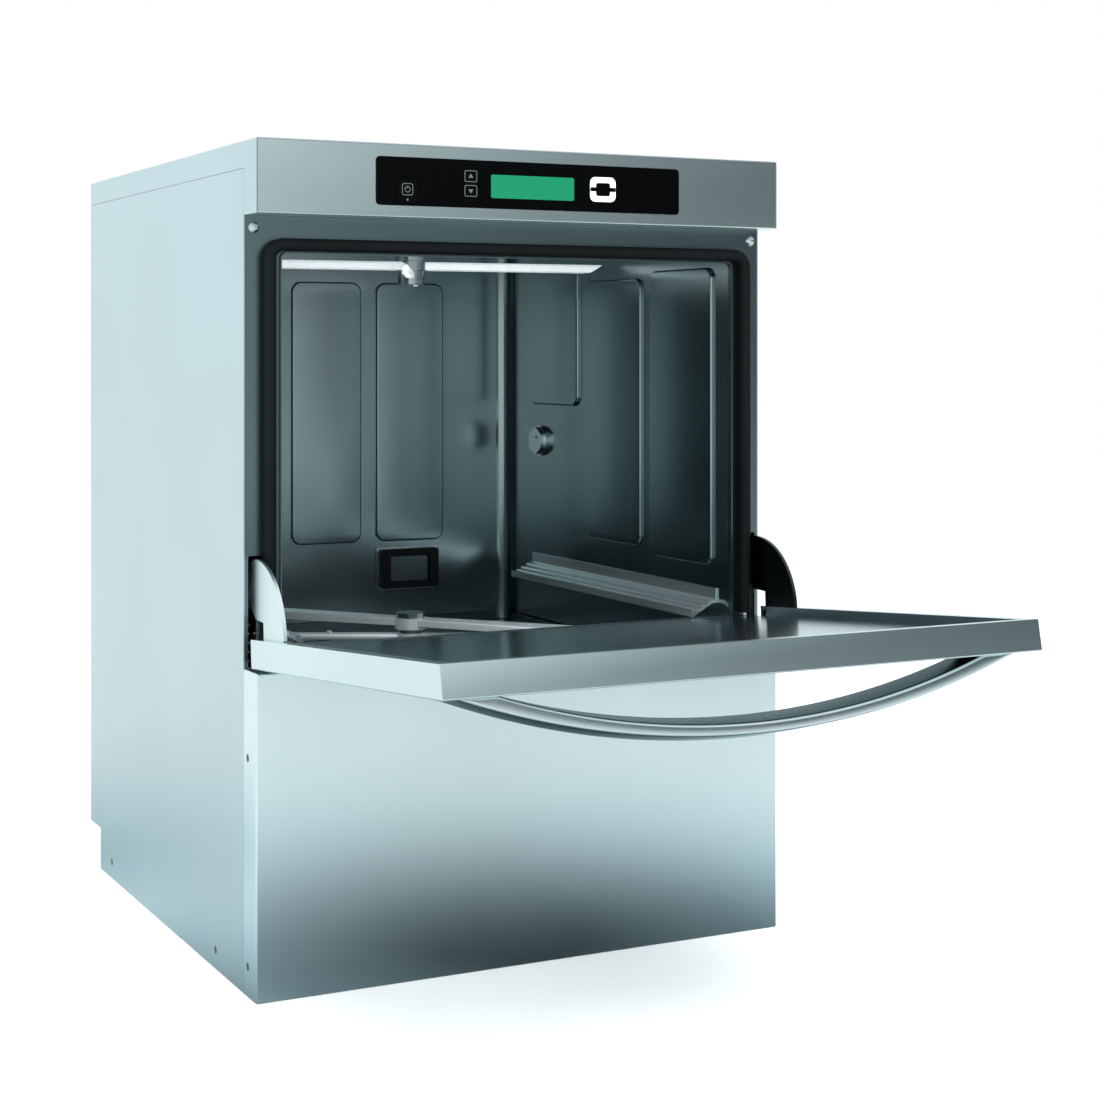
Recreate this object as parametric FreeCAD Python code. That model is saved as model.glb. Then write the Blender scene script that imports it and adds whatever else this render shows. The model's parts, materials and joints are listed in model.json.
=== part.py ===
import FreeCAD, Part
import math
import os

from FreeCAD import Vector

# Under-counter glass washer with a drop-down door, in millimetres.
# X points to the right seen from the front, Y to the back, Z up.
# The origin is on the floor at the centre of the cabinet's footprint.
# At rest the door hangs open on its stop, and every button is out.

# ---------------------------------------------------------------- driving dimensions
CABINET_WIDTH = 600.0
CABINET_DEPTH = 605.0
CABINET_HEIGHT = 835.0
SHEET = 1.2                      # outer panels
SEAM = 0.4                       # gap between neighbouring outer panels
PANEL_FIT = 0.2                  # gap between an outer panel and the frame behind it
BEND = 2.0                       # outside bend radius of the panels

PANEL_JOINT_DEPTH = 36.0         # side panels start this far behind the front
LOWER_PANEL_TOP = 318.0
FASCIA_BOTTOM = 762.0
TOP_SKIRT_BOTTOM = 808.0
NOTCH_DEPTH = 47.0               # recess for the connections, at the rear bottom
NOTCH_HEIGHT = 50.0
SHELF_TOP = NOTCH_HEIGHT + 1.4   # upper face of the shelf over the recess

TUB_HALF_WIDTH = 262.0           # inner faces of the chamber
TUB_BACK_DEPTH = 575.0
TUB_CORNER = 18.0
TUB_SHEET = 1.5
TUB_CEILING = 742.0
TANK_TOP = 338.0
TANK_FLOOR = 215.0

DOOR_HALF_WIDTH = 299.0
DOOR_BOTTOM = 321.5              # with the door closed
DOOR_TOP = 761.0
DOOR_THICKNESS = 28.5
DOOR_END_SLANT = 3.0
DOOR_RIM = 13.0                  # width of the raised rim beside the liner
DOOR_TOP_RIM = 15.0              # and along the door's free end
LINER_FACE_DEPTH = 19.0
DOOR_OPEN_ANGLE = 85.0           # the open stop leaves the door 5 degrees above level
PIVOT_DEPTH = 9.0
PIVOT_HEIGHT = 330.0
PIN_RADIUS = 4.0
RUNNING_GAP = 0.05               # radial gap of every shaft in its hole

HANDLE_REACH = 57.0              # bow's outer face in front of the door
HANDLE_GAP = 36.0                # bow's inner face in front of the door
HANDLE_OUTER_HALF = 293.0
HANDLE_INNER_HALF = 240.0
HANDLE_LOW = 712.0
HANDLE_HIGH = 747.0
HANDLE_BEVEL = 5.0

ARM_CENTRE_DEPTH = 307.5         # spray arms turn about this vertical line
SPINDLE_RADIUS = 12.0
CLEAR = 0.3                      # gap between faces that move past each other
FIT = 0.1                        # radial gap of a fixed part in its hole
PAN_TOP = 12.0                   # upper face of the base pan, on which the machine room stands
PAST = 1.0                       # how far a cutter runs past the face that it cuts

FRONT = -CABINET_DEPTH / 2
BACK = CABINET_DEPTH / 2
HALF_WIDTH = CABINET_WIDTH / 2
NOTCH_FACE = BACK - NOTCH_DEPTH
SIDES = (-1, 1)
X_AXIS = Vector(1, 0, 0)
Y_AXIS = Vector(0, 1, 0)
Z_AXIS = Vector(0, 0, 1)


def behind(depth):
    """Y of a point that lies this far behind the cabinet's front face."""
    return FRONT + depth


PIVOT = Vector(0, behind(PIVOT_DEPTH), PIVOT_HEIGHT)
HUB = Vector(0, behind(ARM_CENTRE_DEPTH), 0)
TUB_FRONT = behind(PANEL_JOINT_DEPTH + SHEET + PANEL_FIT)
TUB_BACK = behind(TUB_BACK_DEPTH)


# ---------------------------------------------------------------- basic shapes
def block(x_range, y_range, z_range):
    """Box between a low and a high value along each axis."""
    low = Vector(x_range[0], y_range[0], z_range[0])
    sizes = [high - start for start, high in (x_range, y_range, z_range)]
    return Part.makeBox(sizes[0], sizes[1], sizes[2], low)


def wide(half_width, y_range, z_range):
    """Box that is symmetric about the cabinet's middle plane."""
    return block((-half_width, half_width), y_range, z_range)


def edges_along(shape, axis, keep=None):
    """Straight edges parallel to an axis whose middle point passes keep."""
    found = []
    for edge in shape.Edges:
        if not isinstance(edge.Curve, Part.Line):
            continue
        if abs(edge.tangentAt(edge.FirstParameter).dot(axis)) < 0.999:
            continue
        if keep is None or keep(edge.CenterOfMass):
            found.append(edge)
    return found


def soft(shape, axis, radius, keep=None):
    """Round the edges that run along an axis."""
    return shape.makeFillet(radius, edges_along(shape, axis, keep))


def rod(start, end, radius):
    """Round bar between two points."""
    line = end - start
    return Part.makeCylinder(radius, line.Length, start, line)


def tube(start, end, outer_radius, inner_radius):
    """Round pipe between two points."""
    return rod(start, end, outer_radius).cut(rod(start, end, inner_radius))


def hexagon(start, end, across_flats):
    """Six-sided bar between two points, with its corners turned round."""
    sides = 6
    turned_share = 0.55              # radius of the turned corners as a share of the width over flats
    line = end - start
    corner = across_flats / math.sqrt(3)
    points = []
    for index in range(sides):
        angle = 2 * math.pi * index / sides
        points.append(Vector(corner * math.cos(angle), corner * math.sin(angle), 0))
    points.append(points[0])
    bar = Part.Face(Part.makePolygon(points)).extrude(Vector(0, 0, line.Length))
    bar = bar.common(Part.makeCylinder(across_flats * turned_share, line.Length))
    bar.Placement = FreeCAD.Placement(start, FreeCAD.Rotation(Z_AXIS, line))
    return bar


def prism(points, along):
    """Straight-sided solid from a closed outline."""
    return Part.Face(Part.makePolygon(points + [points[0]])).extrude(along)


def joined(shapes):
    """One solid from shapes that touch or overlap."""
    result = shapes[0]
    for shape in shapes[1:]:
        result = result.fuse(shape)
    return result.removeSplitter()


def without(shape, cutters):
    """Shape with several cutters taken away."""
    for cutter in cutters:
        shape = shape.cut(cutter)
    return shape


def group(shapes):
    """Several separate solids kept in one node."""
    return Part.makeCompound(shapes)


def plates_round(x_range, y_range, z_range, hole_x, hole_y):
    """Flat plates that fill a rectangle round a smaller one; sides of no width are left out."""
    plates = []
    for xs, ys in (((x_range[0], hole_x[0]), y_range), ((hole_x[1], x_range[1]), y_range),
                   (hole_x, (y_range[0], hole_y[0])), (hole_x, (hole_y[1], y_range[1]))):
        if xs[1] > xs[0] and ys[1] > ys[0]:
            plates.append(block(xs, ys, z_range))
    return plates


def holed_plate(x_range, y_range, z_range, centre, radius):
    """Rectangular plate with one round hole."""
    middle = Vector(centre.x, centre.y, 0)
    hole = rod(middle + Z_AXIS * (z_range[0] - PAST), middle + Z_AXIS * (z_range[1] + PAST), radius)
    return block(x_range, y_range, z_range).cut(hole)


def mirrored(shape):
    """The same shape on the other side of the cabinet."""
    return shape.mirror(Vector(0, 0, 0), X_AXIS)


def on_side(shape, side):
    """A shape made for the right side, put on the side asked for."""
    return shape if side > 0 else mirrored(shape)


def pipe_run(points, radius):
    """Round pipe with ball corners through a list of points."""
    pieces = []
    for start, end in zip(points, points[1:]):
        pieces.append(rod(start, end, radius))
    for corner in points[1:-1]:
        pieces.append(Part.makeSphere(radius, corner))
    return joined(pieces)


def door_opened(shape):
    """Swing a shape drawn with the door closed down to the open stop."""
    opened = shape.copy()
    opened.rotate(PIVOT, X_AXIS, DOOR_OPEN_ANGLE)
    return opened


# ---------------------------------------------------------------- cover screws
SCREW_HEAD = 3.5
SCREW_HOLE = 3.9
SCREW_SHANK = 2.0
SCREW_LENGTH = 10.0
SCREW_SINK = 0.4                 # head lies this far below the panel's face
SCREW_HEAD_HEIGHT = 0.9
SCREW_POCKET = SHEET + 0.15      # depth of the hole for a head
LOWER_SIDE_SCREWS = ((24.0, 30.0), (24.0, 233.0))
BASE_SIDE_SCREWS = ((122.0, 20.0), (508.0, 20.0))
BACK_SCREW_HEIGHTS = (90.0, 330.0, 570.0, 790.0)
BACK_SCREW_X = 289.0


def screw_places():
    """Each sunk screw's point on the outer face and its inward direction."""
    places = []
    for side in SIDES:
        for depth, height in LOWER_SIDE_SCREWS + BASE_SIDE_SCREWS:
            places.append((Vector(side * HALF_WIDTH, behind(depth), height), X_AXIS * -side))
        for height in BACK_SCREW_HEIGHTS:
            places.append((Vector(side * BACK_SCREW_X, BACK, height), -Y_AXIS))
    return places


def screw_clearance():
    """Everything that the sunk screws need cut away, as one tool."""
    cutters = []
    for face, inward in screw_places():
        cutters.append(rod(face - inward, face + inward * SCREW_POCKET, SCREW_HOLE))
        cutters.append(rod(face, face + inward * (SCREW_LENGTH + 2), SCREW_SHANK + RUNNING_GAP))
    return group(cutters)


# ---------------------------------------------------------------- cabinet
def make_base_frame():
    """Base pan on a hollow skirt, with four corner posts and foot nuts."""
    wall = 1.5
    skirt_height = 28.0
    pan_high = PAN_TOP
    pan_low = pan_high - wall
    half = HALF_WIDTH - SHEET - PANEL_FIT
    front = behind(SHEET + PANEL_FIT)
    back = NOTCH_FACE - SHEET - PANEL_FIT
    frame = wide(half, (front, back), (0, skirt_height))
    inner_y = (front + wall, back - wall)
    frame = frame.cut(wide(half - wall, inner_y, (pan_high, skirt_height + PAST)))
    frame = frame.cut(wide(half - wall, inner_y, (wall, pan_low)))
    ring = 25.0
    frame = frame.cut(wide(half - ring, (front + ring, back - ring), (-PAST, wall + PAST)))
    post_width = 15.0
    weld = 0.5
    stem_room = 60.0
    fitting_room_half = 20.0
    fitting_room_depth = 22.0
    front_post = ((behind(14.0), behind(34.0)), 310.0)
    rear_post = ((back - 18.0, back - 2.0), 735.0)
    parts = [frame]
    for side in SIDES:
        for y_range, top in (front_post, rear_post):
            post = block((half - post_width, half), y_range, (pan_high - weld, top))
            hollow_x = (half - post_width - PAST, half - wall)
            hollow_y = (y_range[0] - PAST, y_range[1] - wall)
            post = post.cut(block(hollow_x, hollow_y, (pan_high, top + PAST)))
            parts.append(on_side(post, side))
    for centre in foot_centres():
        boss = rod(centre + Z_AXIS * (pan_high - weld), centre + Z_AXIS * FOOT_BOSS_TOP, FOOT_BOSS_RADIUS)
        parts.append(boss)
    frame = joined(parts)
    for centre in foot_centres():
        frame = frame.cut(rod(centre, centre + Z_AXIS * stem_room, FOOT_STEM_RADIUS + RUNNING_GAP))
    for x in (INLET_X, GLAND_X, DRAIN_X):
        room_x = (x - fitting_room_half, x + fitting_room_half)
        room_y = (back - fitting_room_depth, back + PAST)
        frame = frame.cut(block(room_x, room_y, (pan_low - PAST, skirt_height + PAST)))
    return frame.cut(screw_clearance())


FOOT_X = 246.0
FOOT_FRONT_DEPTH = 52.0
FOOT_BACK_DEPTH = 505.0
FOOT_STEM_RADIUS = 5.0
FOOT_BOSS_RADIUS = 11.0
FOOT_BOSS_TOP = 26.0


def foot_centres():
    """Floor points under the four levelling feet: front pair, then back pair."""
    centres = []
    for depth in (FOOT_FRONT_DEPTH, FOOT_BACK_DEPTH):
        for side in SIDES:
            centres.append(Vector(side * FOOT_X, behind(depth), 0))
    return centres


def make_levelling_foot(centre):
    """Foot pad with a hexagon and a threaded stem, screwed fully in."""
    pad_low = 1.0
    pad_high = 5.0
    nut_high = 9.5
    stem_top = 52.0
    pad_radius = 17.0
    nut_flats = 17.0
    pad = rod(centre + Z_AXIS * pad_low, centre + Z_AXIS * pad_high, pad_radius)
    pad = pad.makeChamfer(pad_low, pad.Edges)
    nut = hexagon(centre + Z_AXIS * pad_high, centre + Z_AXIS * nut_high, nut_flats)
    stem = rod(centre + Z_AXIS * pad_high, centre + Z_AXIS * stem_top, FOOT_STEM_RADIUS)
    return joined([pad, nut, stem])


def make_side_panel(side):
    """Flat side sheet with a return round the rear edge and the rear notch."""
    low = 1.0
    high = TOP_SKIRT_BOTTOM - SEAM
    front = behind(PANEL_JOINT_DEPTH + SEAM)
    rear_return = 20.0
    outer = block((HALF_WIDTH - rear_return, HALF_WIDTH), (front, BACK), (low, high))
    outer = soft(outer, Z_AXIS, BEND, lambda p: p.x > HALF_WIDTH - BEND and p.y > 0)
    inner = block((0, HALF_WIDTH - SHEET), (front - PAST, BACK - SHEET), (low - PAST, high + PAST))
    panel = outer.cut(inner)
    notch = block((0, HALF_WIDTH + PAST), (NOTCH_FACE, BACK + PAST), (0, NOTCH_HEIGHT))
    panel = panel.cut(notch)
    return on_side(panel, side).cut(screw_clearance())


def make_top_cover():
    """Lid with a skirt on both sides and the back, and a deeper wing at each front corner."""
    lid = wide(HALF_WIDTH, (FRONT, BACK), (TOP_SKIRT_BOTTOM, CABINET_HEIGHT))
    wings = wide(HALF_WIDTH, (FRONT, behind(PANEL_JOINT_DEPTH)), (FASCIA_BOTTOM, TOP_SKIRT_BOTTOM))
    shell = lid.fuse(wings).removeSplitter()
    shell = soft(shell, Y_AXIS, BEND, lambda p: p.z > CABINET_HEIGHT - BEND)
    shell = soft(shell, X_AXIS, BEND, lambda p: p.z > CABINET_HEIGHT - BEND and p.y > 0)
    inner_y = (FRONT - PAST, BACK - SHEET)
    return shell.cut(wide(HALF_WIDTH - SHEET, inner_y, (0, CABINET_HEIGHT - SHEET)))


VENT_X = 170.0
VENT_LOWS = (120.0, 660.0)
VENT_COUNT = 7
VENT_HALF_LENGTH = 35.0
VENT_HEIGHT = 5.0
VENT_PITCH = 14.0
VENT_CORNER = 2.4


def make_back_panel():
    """Rear sheet between the side returns, with four fields of vent slots."""
    outer_face = BACK - SHEET - FIT
    half = HALF_WIDTH - SHEET - SEAM
    high = CABINET_HEIGHT - SHEET - SEAM
    panel = wide(half, (outer_face - SHEET, outer_face), (SHELF_TOP + FIT, high))
    slots = []
    for side in SIDES:
        x_range = (side * VENT_X - VENT_HALF_LENGTH, side * VENT_X + VENT_HALF_LENGTH)
        for low in VENT_LOWS:
            for index in range(VENT_COUNT):
                z_low = low + index * VENT_PITCH
                slot = block(x_range, (outer_face - 2 * SHEET, BACK), (z_low, z_low + VENT_HEIGHT))
                slots.append(soft(slot, Y_AXIS, VENT_CORNER))
    return without(panel, slots + [screw_clearance()])


INLET_X = -170.0
GLAND_X = 60.0
DRAIN_X = 170.0
SERVICE_HEIGHT = 27.0
INLET_RADIUS = 13.2              # G 3/4 male thread, outside
INLET_NECK = 12.8
INLET_FLANGE = 2.5
INLET_THREAD = 20.0
DRAIN_OUTER = 11.0
DRAIN_NECK = 10.5
DRAIN_INNER = 9.0
DRAIN_FLANGE = 3.0
DRAIN_PIPE = 33.0
GLAND_BORE = 4.2
GLAND_BODY = 10.0


def make_service_recess_plate():
    """Bent plate that closes the rear notch, with holes for the three connections."""
    low = 2.0
    half = HALF_WIDTH - SHEET - SEAM
    shelf_back = BACK - 2 * SHEET - SEAM
    shelf = wide(half, (NOTCH_FACE - SHEET, shelf_back), (SHELF_TOP - SHEET, SHELF_TOP))
    wall = wide(half, (NOTCH_FACE - SHEET, NOTCH_FACE), (low, SHELF_TOP))
    plate = joined([shelf, wall])
    for x, neck in ((INLET_X, INLET_NECK), (GLAND_X, GLAND_BODY), (DRAIN_X, DRAIN_NECK)):
        centre = Vector(x, NOTCH_FACE, SERVICE_HEIGHT)
        cutter = rod(centre - Y_AXIS * (SHEET + PAST), centre + Y_AXIS * PAST, neck + FIT)
        plate = plate.cut(cutter)
    return plate


def make_lower_front_panel():
    """Deep tray that covers the machine room, open to the back."""
    low = 1.0
    back = behind(PANEL_JOINT_DEPTH)
    tray = wide(HALF_WIDTH, (FRONT, back), (low, LOWER_PANEL_TOP))
    tray = soft(tray, Z_AXIS, BEND, lambda p: p.y < FRONT + BEND)
    tray = soft(tray, X_AXIS, BEND, lambda p: p.y < FRONT + BEND and p.z > low + BEND)
    inner_z = (0, LOWER_PANEL_TOP - SHEET)
    tray = tray.cut(wide(HALF_WIDTH - SHEET, (behind(SHEET), back + PAST), inner_z))
    return tray.cut(screw_clearance())


def make_cover_screws():
    """Sunk screws of the side and back panels, and two dome bolts above the door opening."""
    screws = []
    for face, inward in screw_places():
        head = rod(face + inward * SCREW_SINK, face + inward * (SCREW_SINK + SCREW_HEAD_HEIGHT), SCREW_HEAD)
        shank = rod(face + inward * SCREW_SINK, face + inward * SCREW_LENGTH, SCREW_SHANK)
        screws.append(joined([head, shank]))
    dome_radius = 6.5
    dome_sunk = 3.0
    head_radius = 5.6
    shank_length = 8.0
    for side in SIDES:
        base = surround_bolt_centre(side)
        dome = Part.makeSphere(dome_radius, base + Y_AXIS * dome_sunk)
        dome = dome.common(rod(base - Y_AXIS * dome_radius, base, head_radius))
        shank = rod(base, base + Y_AXIS * shank_length, SURROUND_BOLT_RADIUS)
        screws.append(joined([dome, shank]))
    return group(screws)


# ---------------------------------------------------------------- controls
OVERLAY_HALF_WIDTH = 175.0
OVERLAY_LOW = 773.5
OVERLAY_HIGH = 822.0
OVERLAY_THICKNESS = 0.8
OVERLAY_CORNER = 4.5
DISPLAY_HALF_WIDTH = 48.0
DISPLAY_LOW = 784.5
DISPLAY_HIGH = 808.0
DISPLAY_CORNER = 2.0
DISPLAY_GAP = 0.2
CARRIER_DEPTH = 4.0              # front of the display's carrier
BUTTON_GAP = 0.5
BUTTON_TRAVEL = 0.8
SWITCH_FACE_DEPTH = 9.0          # front of the switches on the control board
BOARD_DEPTH = 13.0
BOARD_THICKNESS = 1.6

# name: (x range, z range, corner radius, how far the cap stands out of the overlay)
BUTTONS = {
    "power_button": ((-152.0, -130.0), (776.5, 800.5), 4.0, 0.0),
    "select_up_button": ((-79.5, -62.5), (798.6, 812.5), 3.0, 0.0),
    "select_down_button": ((-79.5, -62.5), (783.7, 797.6), 3.0, 0.0),
    "start_button": ((67.0, 97.0), (784.5, 810.0), 6.0, 0.5),
}


def button_space(name, gap, y_range):
    """Rounded window for one button, grown by a gap."""
    x_range, z_range, corner, _ = BUTTONS[name]
    window = block((x_range[0] - gap, x_range[1] + gap), y_range, (z_range[0] - gap, z_range[1] + gap))
    return soft(window, Y_AXIS, corner + gap)


def button_centre(name):
    """Middle of a button on the cabinet's front face."""
    x_range, z_range, _, _ = BUTTONS[name]
    return Vector(sum(x_range) / 2, FRONT, sum(z_range) / 2)


def display_window(gap, y_range):
    """Rounded window for the display, grown by a gap."""
    z_range = (DISPLAY_LOW - gap, DISPLAY_HIGH + gap)
    return soft(wide(DISPLAY_HALF_WIDTH + gap, y_range, z_range), Y_AXIS, DISPLAY_CORNER)


def control_openings(y_range):
    """Windows for the display and the four buttons."""
    windows = [display_window(DISPLAY_GAP, y_range)]
    for name in BUTTONS:
        windows.append(button_space(name, BUTTON_GAP, y_range))
    return windows


def make_control_fascia():
    """Front sheet between the top cover's wings, with a deep return under it."""
    half = HALF_WIDTH - SHEET - SEAM
    high = CABINET_HEIGHT - SHEET - PANEL_FIT
    upper_depth = 14.0
    bend = 1.0
    sheet = wide(half, (FRONT, behind(SHEET)), (FASCIA_BOTTOM, high))
    lower_y = (FRONT, behind(PANEL_JOINT_DEPTH - SEAM))
    lower_return = wide(half, lower_y, (FASCIA_BOTTOM, FASCIA_BOTTOM + SHEET))
    upper_return = wide(half, (FRONT, behind(upper_depth)), (high - SHEET, high))
    fascia = joined([sheet, lower_return, upper_return])
    fascia = soft(fascia, X_AXIS, bend, lambda p: p.y < FRONT + bend and p.z < FASCIA_BOTTOM + bend)
    return without(fascia, control_openings((FRONT - PAST, behind(SHEET + PAST))))


def make_control_overlay():
    """Thin black rounded plate on the fascia, open at the display and the buttons."""
    y_range = (FRONT - OVERLAY_THICKNESS, FRONT)
    plate = wide(OVERLAY_HALF_WIDTH, y_range, (OVERLAY_LOW, OVERLAY_HIGH))
    plate = soft(plate, Y_AXIS, OVERLAY_CORNER)
    return without(plate, control_openings((FRONT - OVERLAY_THICKNESS - PAST, FRONT + PAST)))


def make_display_module():
    """Display glass in the overlay's window, with its carrier behind the fascia."""
    glass_set_back = 0.2
    margin = 6.0
    glass = display_window(0.0, (FRONT - OVERLAY_THICKNESS + glass_set_back, behind(CARRIER_DEPTH)))
    carrier_y = (behind(CARRIER_DEPTH), behind(SWITCH_FACE_DEPTH))
    carrier = wide(DISPLAY_HALF_WIDTH + margin, carrier_y, (DISPLAY_LOW - margin, DISPLAY_HIGH + margin))
    return joined([glass, carrier])


def make_control_board():
    """Circuit board with a switch behind each button, stand-off posts, a chip block and relays."""
    board_half = 165.0
    board_z = (768.0, 826.0)
    switch_half = 3.0
    post_x = (40.0, 158.0)
    post_z = (771.0, 824.0)
    post_radius = 2.0
    board_back = behind(BOARD_DEPTH + BOARD_THICKNESS)
    parts = [wide(board_half, (behind(BOARD_DEPTH), board_back), board_z)]
    for name in BUTTONS:
        centre = button_centre(name)
        x_range = (centre.x - switch_half, centre.x + switch_half)
        z_range = (centre.z - switch_half, centre.z + switch_half)
        parts.append(block(x_range, (behind(SWITCH_FACE_DEPTH), behind(BOARD_DEPTH)), z_range))
    for x in post_x:
        for height in post_z:
            post = rod(Vector(x, behind(SHEET), height), Vector(x, behind(BOARD_DEPTH), height), post_radius)
            parts += [post, mirrored(post)]
    chips = wide(28.0, (board_back, behind(BOARD_DEPTH + 6.0)), (780.0, 800.0))
    relays = block((70.0, 140.0), (board_back, behind(BOARD_DEPTH + 18.0)), (778.0, 798.0))
    return joined(parts + [chips, relays])


def make_button(name):
    """Button cap in the overlay with a stem that reaches its switch."""
    proud = BUTTONS[name][3]
    cap_depth = 3.0
    stem_radius = 2.2
    cap = button_space(name, 0.0, (FRONT - OVERLAY_THICKNESS - proud, behind(cap_depth)))
    centre = button_centre(name)
    stem_end = behind(SWITCH_FACE_DEPTH - BUTTON_TRAVEL - FIT)
    stem = rod(centre, Vector(centre.x, stem_end, centre.z), stem_radius)
    return joined([cap, stem])


# ---------------------------------------------------------------- door opening
SLOT_INNER = 281.0
SLOT_OUTER = 295.5
SLOT_TOP = 428.0
SURROUND_BOLT_X = 289.5
SURROUND_BOLT_HEIGHT = 750.0
SURROUND_BOLT_RADIUS = 2.5
MOUTH_TOP = 725.0                # upper edge of the opening, below the chamber's ceiling
MOUTH_CORNER = 6.0
MOUTH_LIP = 5.0                  # how far the folded lip round the mouth stands out
GASKET_CENTRE = 276.2
GASKET_RADIUS = 6.2
GASKET_TOP = 733.5
GASKET_LOW = 342.0
GASKET_CORNER = 14.0
GASKET_TO_LINER = 0.5            # gap between the closed door's liner and the bulb


def surround_bolt_centre(side):
    """Point under the head of a dome bolt on the surround's face."""
    return Vector(side * SURROUND_BOLT_X, behind(PANEL_JOINT_DEPTH), SURROUND_BOLT_HEIGHT)


def make_door_surround_frame():
    """Sheet round the chamber's mouth, slotted for the hinge arms."""
    face_y = (behind(PANEL_JOINT_DEPTH), behind(PANEL_JOINT_DEPTH + SHEET))
    overlap = 14.0
    slot_corner = 2.0
    half = HALF_WIDTH - SHEET - PANEL_FIT
    sheet = wide(half, face_y, (LOWER_PANEL_TOP - overlap, FASCIA_BOTTOM - PANEL_FIT))
    mouth_low = TANK_TOP - PAST
    mouth = wide(TUB_HALF_WIDTH, (FRONT, 0), (mouth_low, MOUTH_TOP))
    mouth = soft(mouth, Y_AXIS, MOUTH_CORNER, lambda p: p.z > MOUTH_TOP - MOUTH_CORNER)
    sheet = sheet.cut(mouth)
    lip_y = (behind(PANEL_JOINT_DEPTH - MOUTH_LIP), behind(PANEL_JOINT_DEPTH))
    lip = wide(TUB_HALF_WIDTH + SHEET, lip_y, (mouth_low - SHEET, MOUTH_TOP + SHEET))
    lip = soft(lip, Y_AXIS, MOUTH_CORNER + SHEET, lambda p: p.z > MOUTH_TOP)
    sheet = joined([sheet, lip.cut(mouth)])
    bolt = surround_bolt_centre(1)
    bolt_hole = rod(bolt - Y_AXIS * SHEET, bolt + Y_AXIS * 2 * SHEET, SURROUND_BOLT_RADIUS + RUNNING_GAP)
    slot = block((SLOT_INNER, SLOT_OUTER), (FRONT, 0), (LOWER_PANEL_TOP + PAST, SLOT_TOP))
    slot = soft(slot, Y_AXIS, slot_corner).fuse(bolt_hole)
    return without(sheet, [slot, mirrored(slot)])


def make_door_gasket():
    """Bulb seal on a flat foot along the left, top and right of the chamber's mouth."""
    face = behind(PANEL_JOINT_DEPTH)
    centre_y = behind(LINER_FACE_DEPTH + GASKET_TO_LINER + GASKET_RADIUS)
    turn = GASKET_TOP - GASKET_CORNER
    reach = GASKET_CENTRE - GASKET_CORNER
    slant = GASKET_CORNER * math.sqrt(0.5)
    corners = []
    for side in SIDES:
        middle = Vector(side * (reach + slant), centre_y, turn + slant)
        ends = [Vector(side * GASKET_CENTRE, centre_y, turn), Vector(side * reach, centre_y, GASKET_TOP)]
        corners.append((ends, middle))
    (left_ends, left_middle), (right_ends, right_middle) = corners
    start = Vector(-GASKET_CENTRE, centre_y, GASKET_LOW)
    finish = Vector(GASKET_CENTRE, centre_y, GASKET_LOW)
    path = Part.Wire([
        Part.LineSegment(start, left_ends[0]).toShape(),
        Part.Arc(left_ends[0], left_middle, left_ends[1]).toShape(),
        Part.LineSegment(left_ends[1], right_ends[1]).toShape(),
        Part.Arc(right_ends[1], right_middle, right_ends[0]).toShape(),
        Part.LineSegment(right_ends[0], finish).toShape(),
    ])
    half_foot = GASKET_RADIUS - 0.4
    neck_y = centre_y + GASKET_RADIUS / 2
    neck = math.sqrt(GASKET_RADIUS ** 2 - (neck_y - centre_y) ** 2)
    left_neck = Vector(start.x - neck, neck_y, start.z)
    right_neck = Vector(start.x + neck, neck_y, start.z)
    left_foot = Vector(start.x - half_foot, face, start.z)
    right_foot = Vector(start.x + half_foot, face, start.z)
    front_point = Vector(start.x, centre_y - GASKET_RADIUS, start.z)
    section = Part.Wire([
        Part.Arc(left_neck, front_point, right_neck).toShape(),
        Part.LineSegment(right_neck, right_foot).toShape(),
        Part.LineSegment(right_foot, left_foot).toShape(),
        Part.LineSegment(left_foot, left_neck).toShape(),
    ])
    return path.makePipeShell([section], True, False)


# ---------------------------------------------------------------- chamber
BACK_EMBOSS_X = (-117.0, 0.0, 117.0)
BACK_EMBOSS_WIDTH = 96.0
BACK_EMBOSS_Z = (380.0, 717.0)
EMBOSS_HEIGHT = 4.0
EMBOSS_CORNER = 13.0
EMBOSS_EDGE = 2.5
EMBOSS_ROOT = 0.5                # how deep a pressed field is set into its wall
# side embosses: depth range behind the front, height range
SIDE_EMBOSSES = (((67.0, 200.0), (389.0, 722.0)),
                 ((222.0, 355.0), (397.0, 715.0)),
                 ((376.0, 505.0), (559.0, 736.0)))


def tub_tube(z_range):
    """Three-sided chamber wall, open to the front, with rounded back corners."""
    outer = wide(TUB_HALF_WIDTH + TUB_SHEET, (TUB_FRONT, TUB_BACK + TUB_SHEET), z_range)
    outer = soft(outer, Z_AXIS, TUB_CORNER + TUB_SHEET, lambda p: p.y > 0)
    inner_z = (z_range[0] - PAST, z_range[1] + PAST)
    inner = wide(TUB_HALF_WIDTH, (FRONT - TUB_CORNER, TUB_BACK), inner_z)
    inner = soft(inner, Z_AXIS, TUB_CORNER, lambda p: p.y > 0)
    return outer.cut(inner)


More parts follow.
